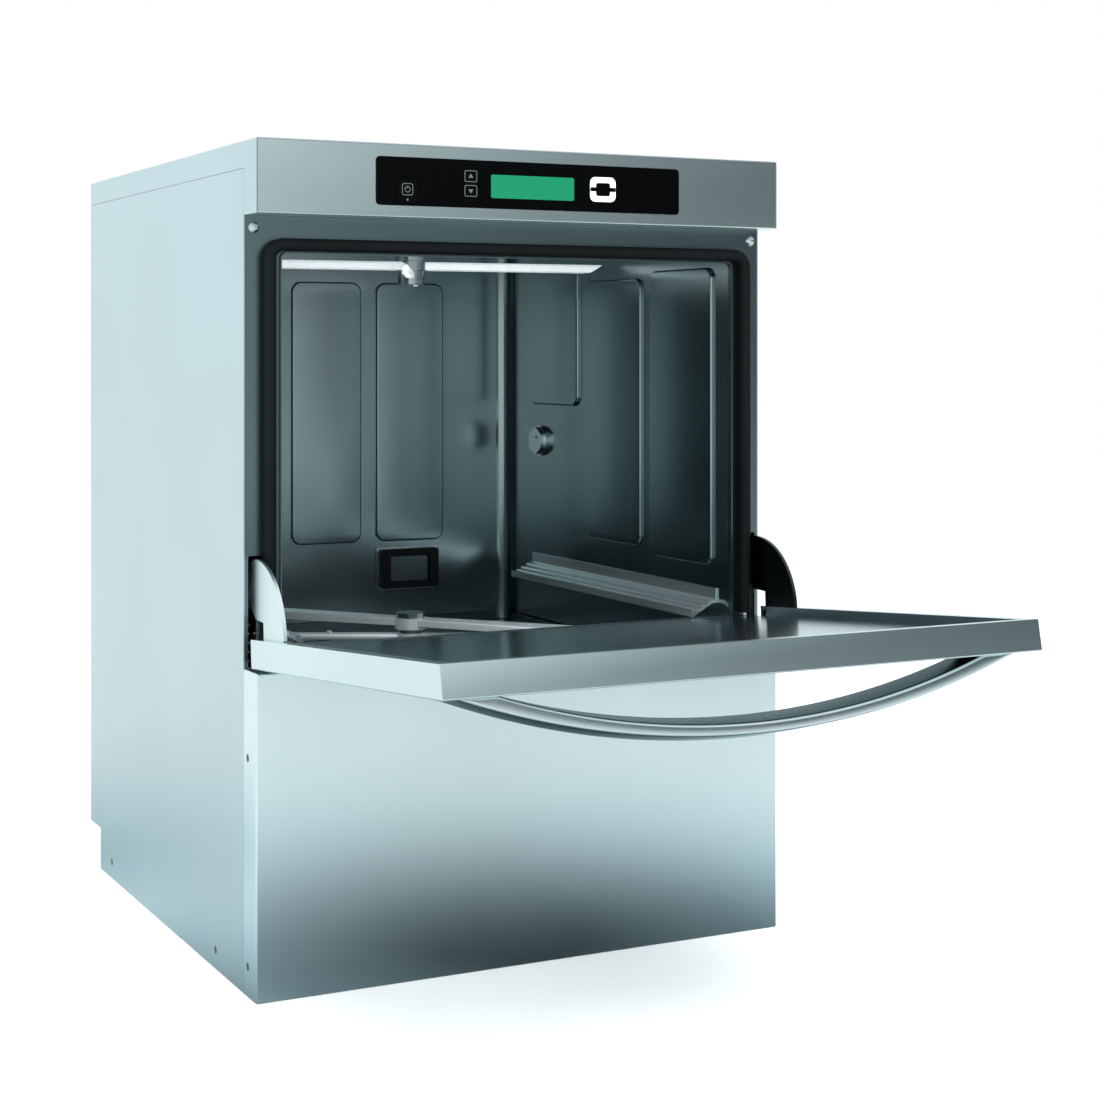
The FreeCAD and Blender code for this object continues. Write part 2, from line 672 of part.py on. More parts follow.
def make_tub_side_wall(side):
    """Side wall with its back corner and three pressed fields."""
    keep_from = TUB_HALF_WIDTH - TUB_CORNER
    z_range = (TANK_TOP, TUB_CEILING)
    wall = tub_tube(z_range).common(block((keep_from, HALF_WIDTH), (FRONT, BACK), z_range))
    fields = []
    for depths, heights in SIDE_EMBOSSES:
        y_range = (behind(depths[0]), behind(depths[1]))
        field = block((TUB_HALF_WIDTH - EMBOSS_HEIGHT, TUB_HALF_WIDTH + EMBOSS_ROOT), y_range, heights)
        field = soft(field, X_AXIS, EMBOSS_CORNER)
        front_face = [edge for edge in field.Edges if edge.BoundBox.XMax < TUB_HALF_WIDTH - EMBOSS_EDGE]
        fields.append(field.makeFillet(EMBOSS_EDGE, front_face))
    wall = joined([wall] + fields)
    fitting = Vector(TUB_HALF_WIDTH, behind(FITTING_DEPTH), FITTING_HEIGHT)
    if side > 0:
        reach = X_AXIS * 2 * TUB_SHEET
        wall = wall.cut(rod(fitting - reach, fitting + reach, FITTING_STEM + FIT))
    return on_side(wall, side)


def make_tub_back_wall():
    """Back wall between the rounded corners, with three pressed fields."""
    keep = wide(TUB_HALF_WIDTH - TUB_CORNER, (0, BACK), (TANK_TOP, TUB_CEILING))
    wall = tub_tube((TANK_TOP, TUB_CEILING)).common(keep)
    fields = []
    for centre_x in BACK_EMBOSS_X:
        x_range = (centre_x - BACK_EMBOSS_WIDTH / 2, centre_x + BACK_EMBOSS_WIDTH / 2)
        field = block(x_range, (TUB_BACK - EMBOSS_HEIGHT, TUB_BACK + EMBOSS_ROOT), BACK_EMBOSS_Z)
        field = soft(field, Y_AXIS, EMBOSS_CORNER)
        front_face = [edge for edge in field.Edges if edge.BoundBox.YMax < TUB_BACK - EMBOSS_EDGE]
        fields.append(field.makeFillet(EMBOSS_EDGE, front_face))
    return joined([wall] + fields)


def make_tub_ceiling():
    """Flat ceiling with the hole for the upper spindle."""
    z_range = (TUB_CEILING, TUB_CEILING + TUB_SHEET)
    ceiling = wide(TUB_HALF_WIDTH + TUB_SHEET, (TUB_FRONT, TUB_BACK + TUB_SHEET), z_range)
    ceiling = soft(ceiling, Z_AXIS, TUB_CORNER + TUB_SHEET, lambda p: p.y > 0)
    return ceiling.cut(rod(HUB, HUB + Z_AXIS * CABINET_HEIGHT, SPINDLE_RADIUS + FIT))


SUMP_X = 110.0
SUMP_DEPTH = 240.0
SUMP_RADIUS = 46.0
SUMP_FLOOR = 168.0
STANDPIPE_X = 203.0
STANDPIPE_DEPTH = 70.0
STANDPIPE_RADIUS = 15.0
STANDPIPE_SEAT = TANK_FLOOR - 22.0
STANDPIPE_PLATE_HALF = 23.0      # square plate of the tank's bottom round the drain socket
TRAY_HEIGHT = 268.0
LEDGE_DEPTHS = (110.0, 480.0)
LEDGE_SIZE = (14.0, 30.0, 3.0)   # how far it stands out, its length and its thickness
SPINDLE_BOTTOM = TANK_FLOOR - 4.0
SPINDLE_ABOVE_CEILING = 22.0


def sump_centre(height):
    """Point on the sump's upright axis."""
    return Vector(SUMP_X, behind(SUMP_DEPTH), height)


def standpipe_centre(height):
    """Point on the standpipe's upright axis."""
    return Vector(STANDPIPE_X, behind(STANDPIPE_DEPTH), height)


def bottom_plates(x_range, y_range, z_range, sump_half, sump_hole, pipe_area, pipe_hole):
    """Bottom of the tank or the tray: plates round two square ones that hold the round holes."""
    sump = sump_centre(0)
    sump_x = (sump.x - sump_half, sump.x + sump_half)
    sump_y = (sump.y - sump_half, sump.y + sump_half)
    right_x = (sump_x[1], x_range[1])
    plates = plates_round((x_range[0], sump_x[1]), y_range, z_range, sump_x, sump_y)
    plates += plates_round(right_x, y_range, z_range, pipe_area[0], pipe_area[1])
    plates.append(holed_plate(sump_x, sump_y, z_range, sump, sump_hole))
    plates.append(holed_plate(pipe_area[0], pipe_area[1], z_range, standpipe_centre(0), pipe_hole))
    return plates


def make_wash_tank():
    """Welded tank under the chamber: walls, bottom plates, round sump, drain socket, tray ledges."""
    wall = TUB_SHEET
    outer_half = TUB_HALF_WIDTH + wall
    corner_y = TUB_BACK - TUB_CORNER
    corner_x = TUB_HALF_WIDTH - TUB_CORNER
    height = (TANK_FLOOR, TANK_TOP)
    side_wall = block((TUB_HALF_WIDTH, outer_half), (TUB_FRONT + wall, corner_y), height)
    corner = block((corner_x, outer_half), (corner_y, TUB_BACK + wall), height)
    corner = corner.common(tube(Vector(corner_x, corner_y, height[0]), Vector(corner_x, corner_y, height[1]),
                                TUB_CORNER + wall, TUB_CORNER))
    solids = [
        wide(outer_half, (TUB_FRONT, TUB_FRONT + wall), height),
        wide(corner_x, (TUB_BACK, TUB_BACK + wall), height),
        side_wall, mirrored(side_wall), corner, mirrored(corner),
    ]
    floor_z = (TANK_FLOOR - wall, TANK_FLOOR)
    floor_y = (TUB_FRONT, TUB_BACK + wall)
    pipe = standpipe_centre(0)
    pipe_area = ((pipe.x - STANDPIPE_PLATE_HALF, pipe.x + STANDPIPE_PLATE_HALF),
                 (pipe.y - STANDPIPE_PLATE_HALF, pipe.y + STANDPIPE_PLATE_HALF))
    sump_margin = 4.0
    outline = soft(wide(outer_half, floor_y, floor_z), Z_AXIS, TUB_CORNER + wall, lambda p: p.y > 0)
    spindle_hole = rod(HUB, HUB + Z_AXIS * TANK_TOP, SPINDLE_RADIUS + FIT)
    for plate in bottom_plates((-outer_half, outer_half), floor_y, floor_z, SUMP_RADIUS + sump_margin,
                               SUMP_RADIUS, pipe_area, STANDPIPE_RADIUS + FIT):
        solids.append(plate.common(outline).cut(spindle_hole))
    suction = rod(sump_centre(0), sump_centre(TANK_FLOOR), SUCTION_RADIUS + FIT)
    solids.append(tube(sump_centre(SUMP_FLOOR), sump_centre(floor_z[0]), SUMP_RADIUS + wall, SUMP_RADIUS))
    sump_floor = rod(sump_centre(SUMP_FLOOR - wall), sump_centre(SUMP_FLOOR), SUMP_RADIUS + wall)
    solids.append(sump_floor.cut(suction))
    socket_wall = 3.0
    solids.append(tube(standpipe_centre(STANDPIPE_SEAT), standpipe_centre(floor_z[0]),
                       STANDPIPE_RADIUS + socket_wall, STANDPIPE_RADIUS + FIT))
    ledge_x = (TUB_HALF_WIDTH - LEDGE_SIZE[0], TUB_HALF_WIDTH)
    ledge_z = (TRAY_HEIGHT - PAST - LEDGE_SIZE[2], TRAY_HEIGHT - PAST)
    for depth in LEDGE_DEPTHS:
        ledge = block(ledge_x, (behind(depth), behind(depth + LEDGE_SIZE[1])), ledge_z)
        solids += [ledge, mirrored(ledge)]
    return group(solids)


RAIL_LIP_X = 229.0
RAIL_THICKNESS = 2.2
RAIL_DEPTHS = (60.0, 500.0)
RAIL_SLOPE_Z = (338.6, 353.5)    # sloped face's height at the lip and at the wall
RAIL_RIB_SHARES = (0.25, 0.5, 0.75)
RAIL_RIB_RADIUS = 1.8


def make_rack_rails():
    """Two ribbed guide rails that carry the rack, one on each side wall."""
    wall_x = TUB_HALF_WIDTH
    thick = RAIL_THICKNESS
    low_z, high_z = RAIL_SLOPE_Z
    y_start, y_end = behind(RAIL_DEPTHS[0]), behind(RAIL_DEPTHS[1])
    flange_top = 365.0
    lip_z = (335.0, 343.0)
    foot_x = wall_x - 6.0
    foot_z = 349.0
    section = [(wall_x, flange_top), (wall_x - thick, flange_top), (wall_x - thick, high_z),
               (RAIL_LIP_X + thick, low_z), (RAIL_LIP_X + thick, lip_z[1]), (RAIL_LIP_X, lip_z[1]),
               (RAIL_LIP_X, lip_z[0]), (RAIL_LIP_X + thick, lip_z[0]), (foot_x, foot_z), (wall_x, foot_z)]
    parts = [prism([Vector(x, y_start, z) for x, z in section], Y_AXIS * (y_end - y_start))]
    for share in RAIL_RIB_SHARES:
        x = RAIL_LIP_X + thick + share * (wall_x - RAIL_LIP_X - 2 * thick)
        z = low_z + share * (high_z - low_z)
        parts.append(rod(Vector(x, y_start, z), Vector(x, y_end, z), RAIL_RIB_RADIUS))
    rail = joined(parts)
    return group([rail, mirrored(rail)])


HOOD_X = (73.0, 155.0)
HOOD_Z = (319.0, 370.0)
HOOD_REACH = 10.0
HOOD_CORNER = 4.0
HOOD_PLATE_X = (88.0, 141.0)
HOOD_PLATE_Z = (328.0, 360.0)
HOOD_PLATE_CORNER = 2.0
HOOD_PLATE_THICKNESS = 4.0
HOOD_BED = 2.0                   # thickness of the frame behind the plate
HOOD_PLATE_GAP = 1.0


def make_overflow_hood_frame():
    """Black rectangular frame low on the back wall."""
    frame = block(HOOD_X, (TUB_BACK - HOOD_REACH, TUB_BACK), HOOD_Z)
    frame = soft(frame, Y_AXIS, HOOD_CORNER)
    x_range = (HOOD_PLATE_X[0] - HOOD_PLATE_GAP, HOOD_PLATE_X[1] + HOOD_PLATE_GAP)
    z_range = (HOOD_PLATE_Z[0] - HOOD_PLATE_GAP, HOOD_PLATE_Z[1] + HOOD_PLATE_GAP)
    return frame.cut(block(x_range, (TUB_BACK - HOOD_REACH - PAST, TUB_BACK - HOOD_BED), z_range))


def make_overflow_hood_plate():
    """Steel plate set back inside the hood's frame."""
    y_range = (TUB_BACK - HOOD_BED - HOOD_PLATE_THICKNESS, TUB_BACK - HOOD_BED)
    return soft(block(HOOD_PLATE_X, y_range, HOOD_PLATE_Z), Y_AXIS, HOOD_PLATE_CORNER)


FITTING_DEPTH = 478.0
FITTING_HEIGHT = 512.0
FITTING_STEM = 9.0
FITTING_FLANGE = (19.5, 4.0)     # radius and thickness
FITTING_NUT = (32.0, 10.0)       # width over flats and how far it stands out
FITTING_HOLE = 2.2


def make_wall_fitting():
    """Round nut with flats on the right wall, with its stem behind the wall."""
    stem_length = 22.0
    hole_depth = 5.0
    face = Vector(TUB_HALF_WIDTH, behind(FITTING_DEPTH), FITTING_HEIGHT)
    nut_face = face - X_AXIS * FITTING_NUT[1]
    flange = rod(face, face - X_AXIS * FITTING_FLANGE[1], FITTING_FLANGE[0])
    nut = hexagon(face, nut_face, FITTING_NUT[0])
    stem = rod(face, face + X_AXIS * stem_length, FITTING_STEM)
    hole = nut_face + Z_AXIS * 5 - Y_AXIS * 4
    cutter = rod(hole - X_AXIS * PAST, hole + X_AXIS * hole_depth, FITTING_HOLE)
    return joined([flange, nut, stem]).cut(cutter)


# ---------------------------------------------------------------- spray arms
UPPER_ARM_LENGTH = 242.0
UPPER_ARM_Z = (722.5, 732.0)
UPPER_ARM_ANGLE = -3.4
UPPER_RINSE_Z = 717.0
UPPER_RINSE_ANGLE = 64.3
LOWER_ARM_LENGTH = 240.0
LOWER_ARM_Z = (309.5, 318.0)
LOWER_ARM_ANGLE = -50.0
LOWER_RINSE_Z = 296.0
LOWER_RINSE_ANGLE = -26.0
RINSE_TUBE_RADIUS = 4.5
HUB_RADIUS = 19.0
RINSE_HUB_MARGIN = 0.4           # hub stands this far above and below its tube
WASH_HUB_ABOVE = (0.8, 0.2)      # upper and lower wash arm's hub above the arm
WASH_HUB_BELOW = (0.3, 4.0)      # and below it
SLOT_HALF_WIDTH = 1.2            # spray slots


def hub_ring(z_range, radius):
    """Round hub with the running bore on the spindle."""
    return rod(HUB + Z_AXIS * z_range[0], HUB + Z_AXIS * z_range[1], radius)


def hub_bore():
    """Tool for the running bore of every arm."""
    return rod(HUB, HUB + Z_AXIS * CABINET_HEIGHT, SPINDLE_RADIUS + RUNNING_GAP)


def turned(shape, angle):
    """Turn an arm about the spindle's axis."""
    turned_shape = shape.copy()
    turned_shape.rotate(HUB, Z_AXIS, angle)
    return turned_shape


def spray_slots(reaches, half_length, z_range):
    """Crosswise slots at the same distances on both halves of an arm."""
    slots = []
    for reach in reaches:
        for side in SIDES:
            x_range = (side * reach - SLOT_HALF_WIDTH, side * reach + SLOT_HALF_WIDTH)
            slots.append(block(x_range, (HUB.y - half_length, HUB.y + half_length), z_range))
    return slots


def make_upper_wash_arm():
    """Flat hollow-section arm with slanted tips and spray slots in its underside."""
    low, high = UPPER_ARM_Z
    slope = 16.0
    half = 14.0
    edge = 3.5
    slot_depth = 3.0
    front_y = HUB.y - half
    low_reach = UPPER_ARM_LENGTH - slope
    outline = [Vector(-UPPER_ARM_LENGTH, front_y, high), Vector(UPPER_ARM_LENGTH, front_y, high),
               Vector(low_reach, front_y, low), Vector(-low_reach, front_y, low)]
    arm = soft(prism(outline, Y_AXIS * 2 * half), X_AXIS, edge)
    arm = joined([arm, hub_ring((low - WASH_HUB_BELOW[0], high + WASH_HUB_ABOVE[0]), HUB_RADIUS)])
    slots = spray_slots((70.0, 120.0, 170.0, 212.0), 8.0, (low - PAST, low + slot_depth))
    return turned(without(arm, slots + [hub_bore()]), UPPER_ARM_ANGLE)


def make_lower_wash_arm():
    """Flat blade arm that broadens towards its tips, with spray slots on top."""
    low, high = LOWER_ARM_Z
    neck = 12.0
    broad = 18.0
    tip = 9.0
    tip_length = 22.0
    edge = 2.5
    slot_depth = 3.0
    side_line = [(-LOWER_ARM_LENGTH, tip), (-LOWER_ARM_LENGTH + tip_length, broad), (0.0, neck),
                 (LOWER_ARM_LENGTH - tip_length, broad), (LOWER_ARM_LENGTH, tip)]
    outline = [Vector(x, HUB.y + y, low) for x, y in side_line]
    outline += [Vector(x, HUB.y - y, low) for x, y in reversed(side_line)]
    arm = prism(outline, Z_AXIS * (high - low))
    upper_edges = [line for line in arm.Edges if line.BoundBox.ZMin > high - edge]
    arm = arm.makeFillet(edge, upper_edges)
    arm = joined([arm, hub_ring((low - WASH_HUB_BELOW[1], high + WASH_HUB_ABOVE[1]), HUB_RADIUS)])
    slots = spray_slots((60.0, 105.0, 150.0, 195.0), 7.0, (high - slot_depth, high + PAST))
    return turned(without(arm, slots + [hub_bore()]), LOWER_ARM_ANGLE)


def make_rinse_arm(height, reach, nozzle_up, angle):
    """Thin tube arm with small nozzles and plugged ends."""
    nozzle_radius = 3.2
    nozzle_height = RINSE_TUBE_RADIUS + 2.0
    hub_radius = HUB_RADIUS - 3.0
    centre = HUB + Z_AXIS * height
    bar = rod(centre - X_AXIS * reach, centre + X_AXIS * reach, RINSE_TUBE_RADIUS)
    ends = [Part.makeSphere(RINSE_TUBE_RADIUS, centre + X_AXIS * side * reach) for side in SIDES]
    nozzles = []
    for distance in (95.0, 150.0, 205.0):
        for side in SIDES:
            base = centre + X_AXIS * side * distance
            nozzles.append(rod(base, base + Z_AXIS * nozzle_up * nozzle_height, nozzle_radius))
    hub_half = RINSE_TUBE_RADIUS + RINSE_HUB_MARGIN
    hub = hub_ring((height - hub_half, height + hub_half), hub_radius)
    return turned(joined([bar, hub] + ends + nozzles).cut(hub_bore()), angle)


def make_upper_spindle():
    """Feed spindle through the ceiling with a fixed collar and a retaining nut."""
    collar_flats = 34.0
    nut_flats = 30.0
    nut_height = 6.0
    top = TUB_CEILING + SPINDLE_ABOVE_CEILING
    collar_low = UPPER_ARM_Z[1] + WASH_HUB_ABOVE[0] + CLEAR
    nut_high = UPPER_RINSE_Z - RINSE_TUBE_RADIUS - RINSE_HUB_MARGIN - CLEAR
    nut_low = nut_high - nut_height
    shaft = rod(HUB + Z_AXIS * nut_low, HUB + Z_AXIS * top, SPINDLE_RADIUS)
    collar = hexagon(HUB + Z_AXIS * collar_low, HUB + Z_AXIS * TUB_CEILING, collar_flats)
    nut = hexagon(HUB + Z_AXIS * nut_low, HUB + Z_AXIS * nut_high, nut_flats)
    return joined([shaft, collar, nut])


def make_lower_spindle():
    """Feed spindle from the tank floor with a stand, a spacer and a cap nut."""
    bottom = SPINDLE_BOTTOM
    rinse_low = LOWER_RINSE_Z - RINSE_TUBE_RADIUS - RINSE_HUB_MARGIN
    rinse_high = LOWER_RINSE_Z + RINSE_TUBE_RADIUS + RINSE_HUB_MARGIN
    wash_low = LOWER_ARM_Z[0] - WASH_HUB_BELOW[1]
    wash_high = LOWER_ARM_Z[1] + WASH_HUB_ABOVE[1]
    cap_top = wash_high + 6.0
    cap_flats = 32.0
    stand_radius = SPINDLE_RADIUS + 5.0
    spacer_radius = SPINDLE_RADIUS + 4.0
    shaft = rod(HUB + Z_AXIS * bottom, HUB + Z_AXIS * cap_top, SPINDLE_RADIUS)
    stand = rod(HUB + Z_AXIS * TANK_FLOOR, HUB + Z_AXIS * (rinse_low - CLEAR), stand_radius)
    spacer = rod(HUB + Z_AXIS * (rinse_high + CLEAR), HUB + Z_AXIS * (wash_low - CLEAR), spacer_radius)
    nut = hexagon(HUB + Z_AXIS * (wash_high + CLEAR), HUB + Z_AXIS * cap_top, cap_flats)
    return joined([shaft, stand, spacer, nut])


# ---------------------------------------------------------------- tank fittings
TRAY_SHEET = 1.5
TRAY_MARGIN = 5.0                # gap between the tray and the chamber's walls
TRAY_RIM = 12.0
TRAY_SLOT_COLUMNS = (-226.0, -172.0, -118.0, -64.0, 180.0)
TRAY_SLOT_ROWS = 19
TRAY_SLOT_SIZE = (46.0, 7.0)
TRAY_SLOT_PITCH = 22.0
TRAY_SLOT_START = 70.0           # first row behind the tray's front edge
TRAY_PIPE_HALF = 26.0            # square plate round the standpipe's hole
BASKET_RADIUS = SUMP_RADIUS - 6.0
BASKET_FLOOR = 182.0


def tray_slots(front):
    """Five columns of drain slots through the tray's bottom, the right one shorter at the front."""
    slots = []
    cut_z = (TRAY_HEIGHT - PAST, TRAY_HEIGHT + TRAY_SHEET + PAST)
    for column in TRAY_SLOT_COLUMNS:
        first_row = 2 if column > 0 else 0
        for row in range(first_row, TRAY_SLOT_ROWS):
            y_low = front + TRAY_SLOT_START + row * TRAY_SLOT_PITCH
            y_range = (y_low, y_low + TRAY_SLOT_SIZE[1])
            slots.append(block((column, column + TRAY_SLOT_SIZE[0]), y_range, cut_z))
    return group(slots)


def make_filter_tray():
    """Slotted tray over the tank, folded up at its edges, with a deep basket in the sump."""
    half = TUB_HALF_WIDTH - TRAY_MARGIN
    y_range = (TUB_FRONT + TRAY_MARGIN, TUB_BACK - TRAY_MARGIN)
    wall = TRAY_SHEET
    notch = TUB_CORNER
    rim_z = (TRAY_HEIGHT + wall, TRAY_HEIGHT + TRAY_RIM)
    side_rim = block((half - wall, half), (y_range[0] + notch, y_range[1] - notch), rim_z)
    solids = [
        wide(half - notch, (y_range[0], y_range[0] + wall), rim_z),
        wide(half - notch, (y_range[1] - wall, y_range[1]), rim_z),
        side_rim, mirrored(side_rim),
    ]
    plate_z = (TRAY_HEIGHT, TRAY_HEIGHT + wall)
    basket_margin = 4.0
    hub_margin = 9.0
    pipe_margin = 5.0
    pipe = standpipe_centre(0)
    pipe_area = ((pipe.x - TRAY_PIPE_HALF, pipe.x + TRAY_PIPE_HALF), (y_range[0], pipe.y + TRAY_PIPE_HALF))
    outline = soft(wide(half, y_range, plate_z), Z_AXIS, notch)
    hub_hole = rod(HUB, HUB + Z_AXIS * TANK_TOP, SPINDLE_RADIUS + hub_margin)
    cutters = [hub_hole, tray_slots(y_range[0])]
    for plate in bottom_plates((-half, half), y_range, plate_z, BASKET_RADIUS + basket_margin,
                               BASKET_RADIUS - wall, pipe_area, STANDPIPE_RADIUS + pipe_margin):
        solids.append(without(plate.common(outline), cutters))
    solids.append(tube(sump_centre(BASKET_FLOOR + wall), sump_centre(TRAY_HEIGHT), BASKET_RADIUS,
                       BASKET_RADIUS - wall))
    solids.append(rod(sump_centre(BASKET_FLOOR), sump_centre(BASKET_FLOOR + wall), BASKET_RADIUS))
    return group(solids)


def make_overflow_standpipe():
    """Plastic pipe that plugs the drain, with a knob ring to pull it out."""
    seat = TANK_FLOOR - 18.0
    top = 312.0
    wall = 3.0
    grip_height = 12.0
    bore = STANDPIPE_RADIUS - wall
    pipe = tube(standpipe_centre(seat), standpipe_centre(top), STANDPIPE_RADIUS, bore)
    grip = tube(standpipe_centre(top - grip_height), standpipe_centre(top), STANDPIPE_RADIUS + wall, bore)
    return joined([pipe, grip])


def make_tank_heater():
    """Tubular element that loops over the tank floor on the left."""
    height = TANK_FLOOR + 14.0
    front_y = behind(140.0)
    loop_y = behind(470.0)
    end_y = behind(530.0)
    radius = 4.2
    left_x, right_x = -215.0, -65.0
    pitch = (right_x - left_x) / 3
    places = [(left_x, end_y), (left_x, front_y), (left_x + pitch, front_y), (left_x + pitch, loop_y),
              (right_x - pitch, loop_y), (right_x - pitch, front_y), (right_x, front_y), (right_x, end_y)]
    return pipe_run([Vector(x, y, height) for x, y in places], radius)


# ---------------------------------------------------------------- door
NOTCH_X = (SLOT_INNER, 292.0)
ARM_X = (287.6, 291.1)
ARM_FOOT_TOP = 395.0             # with the door closed


EAR_X = (283.0, 286.0)
EAR_RADIUS = 6.8
TAIL_HOLE = (60.0, 401.0)        # depth behind the front and height, with the door open


def hinge_notches():
    """Room in the door's lower corners for the hinge ears and the arms."""
    notch_front = behind(2.2)
    notch_back = behind(DOOR_THICKNESS) + TUB_CORNER
    notch_top = PIVOT_HEIGHT + 10.5
    arm_front = behind(DOOR_THICKNESS - 4.0)
    low = DOOR_BOTTOM - PAST
    corner = block(NOTCH_X, (notch_front, notch_back), (low, notch_top))
    arm_slot = block((ARM_X[0] - CLEAR, ARM_X[1] + CLEAR), (arm_front, notch_back), (low, ARM_FOOT_TOP))
    notch = joined([corner, arm_slot])
    return [notch, mirrored(notch)]


def make_door_outer_skin():
    """Outer face bent round into a hollow raised rim on three sides; no rim along the hinge edge."""
    back = behind(DOOR_THICKNESS)
    half = DOOR_HALF_WIDTH
    outline = [Vector(-half, FRONT, DOOR_BOTTOM), Vector(-half, back, DOOR_BOTTOM),
               Vector(-half, back, DOOR_TOP - DOOR_END_SLANT), Vector(-half, FRONT, DOOR_TOP)]
    side_bend = 1.5
    end_bend = 1.1
    hinge_strip = 10.0
    slab = prism(outline, X_AXIS * 2 * half)
    slab = soft(slab, Z_AXIS, side_bend, lambda p: p.y < FRONT + side_bend)
    slab = soft(slab, X_AXIS, end_bend, lambda p: p.y < FRONT + side_bend)
    rim_x = half - DOOR_RIM
    rim_z = DOOR_TOP - DOOR_TOP_RIM
    inside_y = (behind(SHEET), behind(DOOR_THICKNESS - SHEET))
    liner_bed = (behind(LINER_FACE_DEPTH - SHEET), back + PAST)
    side_hollow_z = (DOOR_BOTTOM + SHEET, rim_z + SHEET + PAST)
    cutters = [
        wide(rim_x, (behind(SHEET), back + PAST), (DOOR_BOTTOM + SHEET, rim_z)),
        wide(rim_x, liner_bed, (DOOR_BOTTOM - PAST, DOOR_BOTTOM + hinge_strip)),
        wide(half - SHEET, inside_y, (rim_z + SHEET, DOOR_TOP - DOOR_END_SLANT - SHEET)),
    ]
    side_hollow = block((rim_x + SHEET, half - SHEET), inside_y, side_hollow_z)
    cutters += [side_hollow, mirrored(side_hollow)]
    return door_opened(without(slab, cutters + hinge_notches()))


def make_door_inner_liner():
    """Flat liner sheet set back inside the rim."""
    half = DOOR_HALF_WIDTH - DOOR_RIM - PANEL_FIT
    top = DOOR_TOP - DOOR_TOP_RIM - PANEL_FIT
    bottom = DOOR_BOTTOM + SEAM
    y_range = (behind(LINER_FACE_DEPTH - SHEET + FIT), behind(LINER_FACE_DEPTH))
    return door_opened(without(wide(half, y_range, (bottom, top)), hinge_notches()))


def make_door_handle():
    """Bow handle across the door: two long arcs that meet near the door's edges."""
    outer = [Vector(-HANDLE_OUTER_HALF, FRONT, HANDLE_LOW), Vector(0, FRONT - HANDLE_REACH, HANDLE_LOW),
             Vector(HANDLE_OUTER_HALF, FRONT, HANDLE_LOW)]
    inner = [Vector(HANDLE_INNER_HALF, FRONT, HANDLE_LOW), Vector(0, FRONT - HANDLE_GAP, HANDLE_LOW),
             Vector(-HANDLE_INNER_HALF, FRONT, HANDLE_LOW)]
    wire = Part.Wire([
        Part.Arc(outer[0], outer[1], outer[2]).toShape(),
        Part.LineSegment(outer[2], inner[0]).toShape(),
        Part.Arc(inner[0], inner[1], inner[2]).toShape(),
        Part.LineSegment(inner[2], outer[0]).toShape(),
    ])
    bow = Part.Face(wire).extrude(Z_AXIS * (HANDLE_HIGH - HANDLE_LOW))
    long_edges = [edge for edge in bow.Edges if edge.Length > HANDLE_OUTER_HALF]
    return door_opened(bow.makeChamfer(HANDLE_BEVEL, long_edges))


def arm_point(depth, height):
    """Point of the hinge arm's outline on its inner face, with the door open."""
    return Vector(ARM_X[0], behind(depth), height)


def make_hinge_arm(side):
    """Goose-neck plate on the door: foot in the rim, curved neck, tail for the spring."""
    boss_radius = 7.3
    spring_hole = 3.5
    foot_front = arm_point(-52.0, 357.0)
    foot_arc = arm_point(-30.0, 403.0)
    shoulder = arm_point(26.0, 425.5)
    shoulder_arc = arm_point(45.0, 421.0)
    tail_top = arm_point(62.0, 412.5)
    tail_arc = arm_point(70.0, 401.0)
    tail_low = arm_point(66.0, 391.0)
    corners = [tail_low, arm_point(25.0, 367.0), arm_point(4.0, 366.5), arm_point(3.0, 350.0),
               arm_point(12.0, 336.6), arm_point(6.0, 323.4), arm_point(-46.0, 340.0), foot_front]
    edges = [
        Part.Arc(foot_front, foot_arc, shoulder).toShape(),
        Part.Arc(shoulder, shoulder_arc, tail_top).toShape(),
        Part.Arc(tail_top, tail_arc, tail_low).toShape(),
    ]
    for start, end in zip(corners, corners[1:]):
        edges.append(Part.LineSegment(start, end).toShape())
    through = X_AXIS * (ARM_X[1] - ARM_X[0])
    plate = Part.Face(Part.Wire(edges)).extrude(through)
    pivot = Vector(ARM_X[0], PIVOT.y, PIVOT.z)
    boss = rod(pivot, pivot + through, boss_radius)
    tail = arm_point(*TAIL_HOLE)
    cutters = [rod(pivot - X_AXIS, pivot + through + X_AXIS, PIN_RADIUS + RUNNING_GAP),
               rod(tail - X_AXIS, tail + through + X_AXIS, spring_hole)]
    return on_side(without(joined([plate, boss]), cutters), side)


def make_hinge_brackets():
    """Two ears that reach out of the cabinet below the slots, each on a plate behind the surround."""
    plate_inner_x = 266.0
    plate_depths = (38.2, 41.2)
    web_depth = 48.0
    plate_top = 380.0
    web_top = 352.0
    low = PIVOT.z - EAR_RADIUS
    ear_start = Vector(EAR_X[0], PIVOT.y, PIVOT.z)
    through = X_AXIS * (EAR_X[1] - EAR_X[0])
    ear = rod(ear_start, ear_start + through, EAR_RADIUS)
    arm = block(EAR_X, (PIVOT.y, behind(web_depth)), (low, PIVOT.z + EAR_RADIUS))
    plate_y = (behind(plate_depths[0]), behind(plate_depths[1]))
    plate = block((plate_inner_x, EAR_X[1]), plate_y, (low, plate_top))
    web = block(EAR_X, (plate_y[0], behind(web_depth)), (low, web_top))
    bracket = joined([ear, arm, plate, web])
    bracket = bracket.cut(rod(ear_start - X_AXIS, ear_start + through + X_AXIS, PIN_RADIUS))
    return group([bracket, mirrored(bracket)])


def make_hinge_pins():
    """Two pins pressed into the ears, on which the arms turn."""
    length = 9.8
    point = 0.6
    start = Vector(EAR_X[0] - PAST, PIVOT.y, PIVOT.z)
    pin = rod(start, start + X_AXIS * length, PIN_RADIUS)
    pin = pin.makeChamfer(point, pin.Edges)
    return group([pin, mirrored(pin)])


SPRING_LOW = 82.0
SPRING_HIGH = TAIL_HOLE[1] - 22.0
SPRING_RADIUS = 6.6
SPRING_WIRE = 1.1
SPRING_PITCH = 9.0


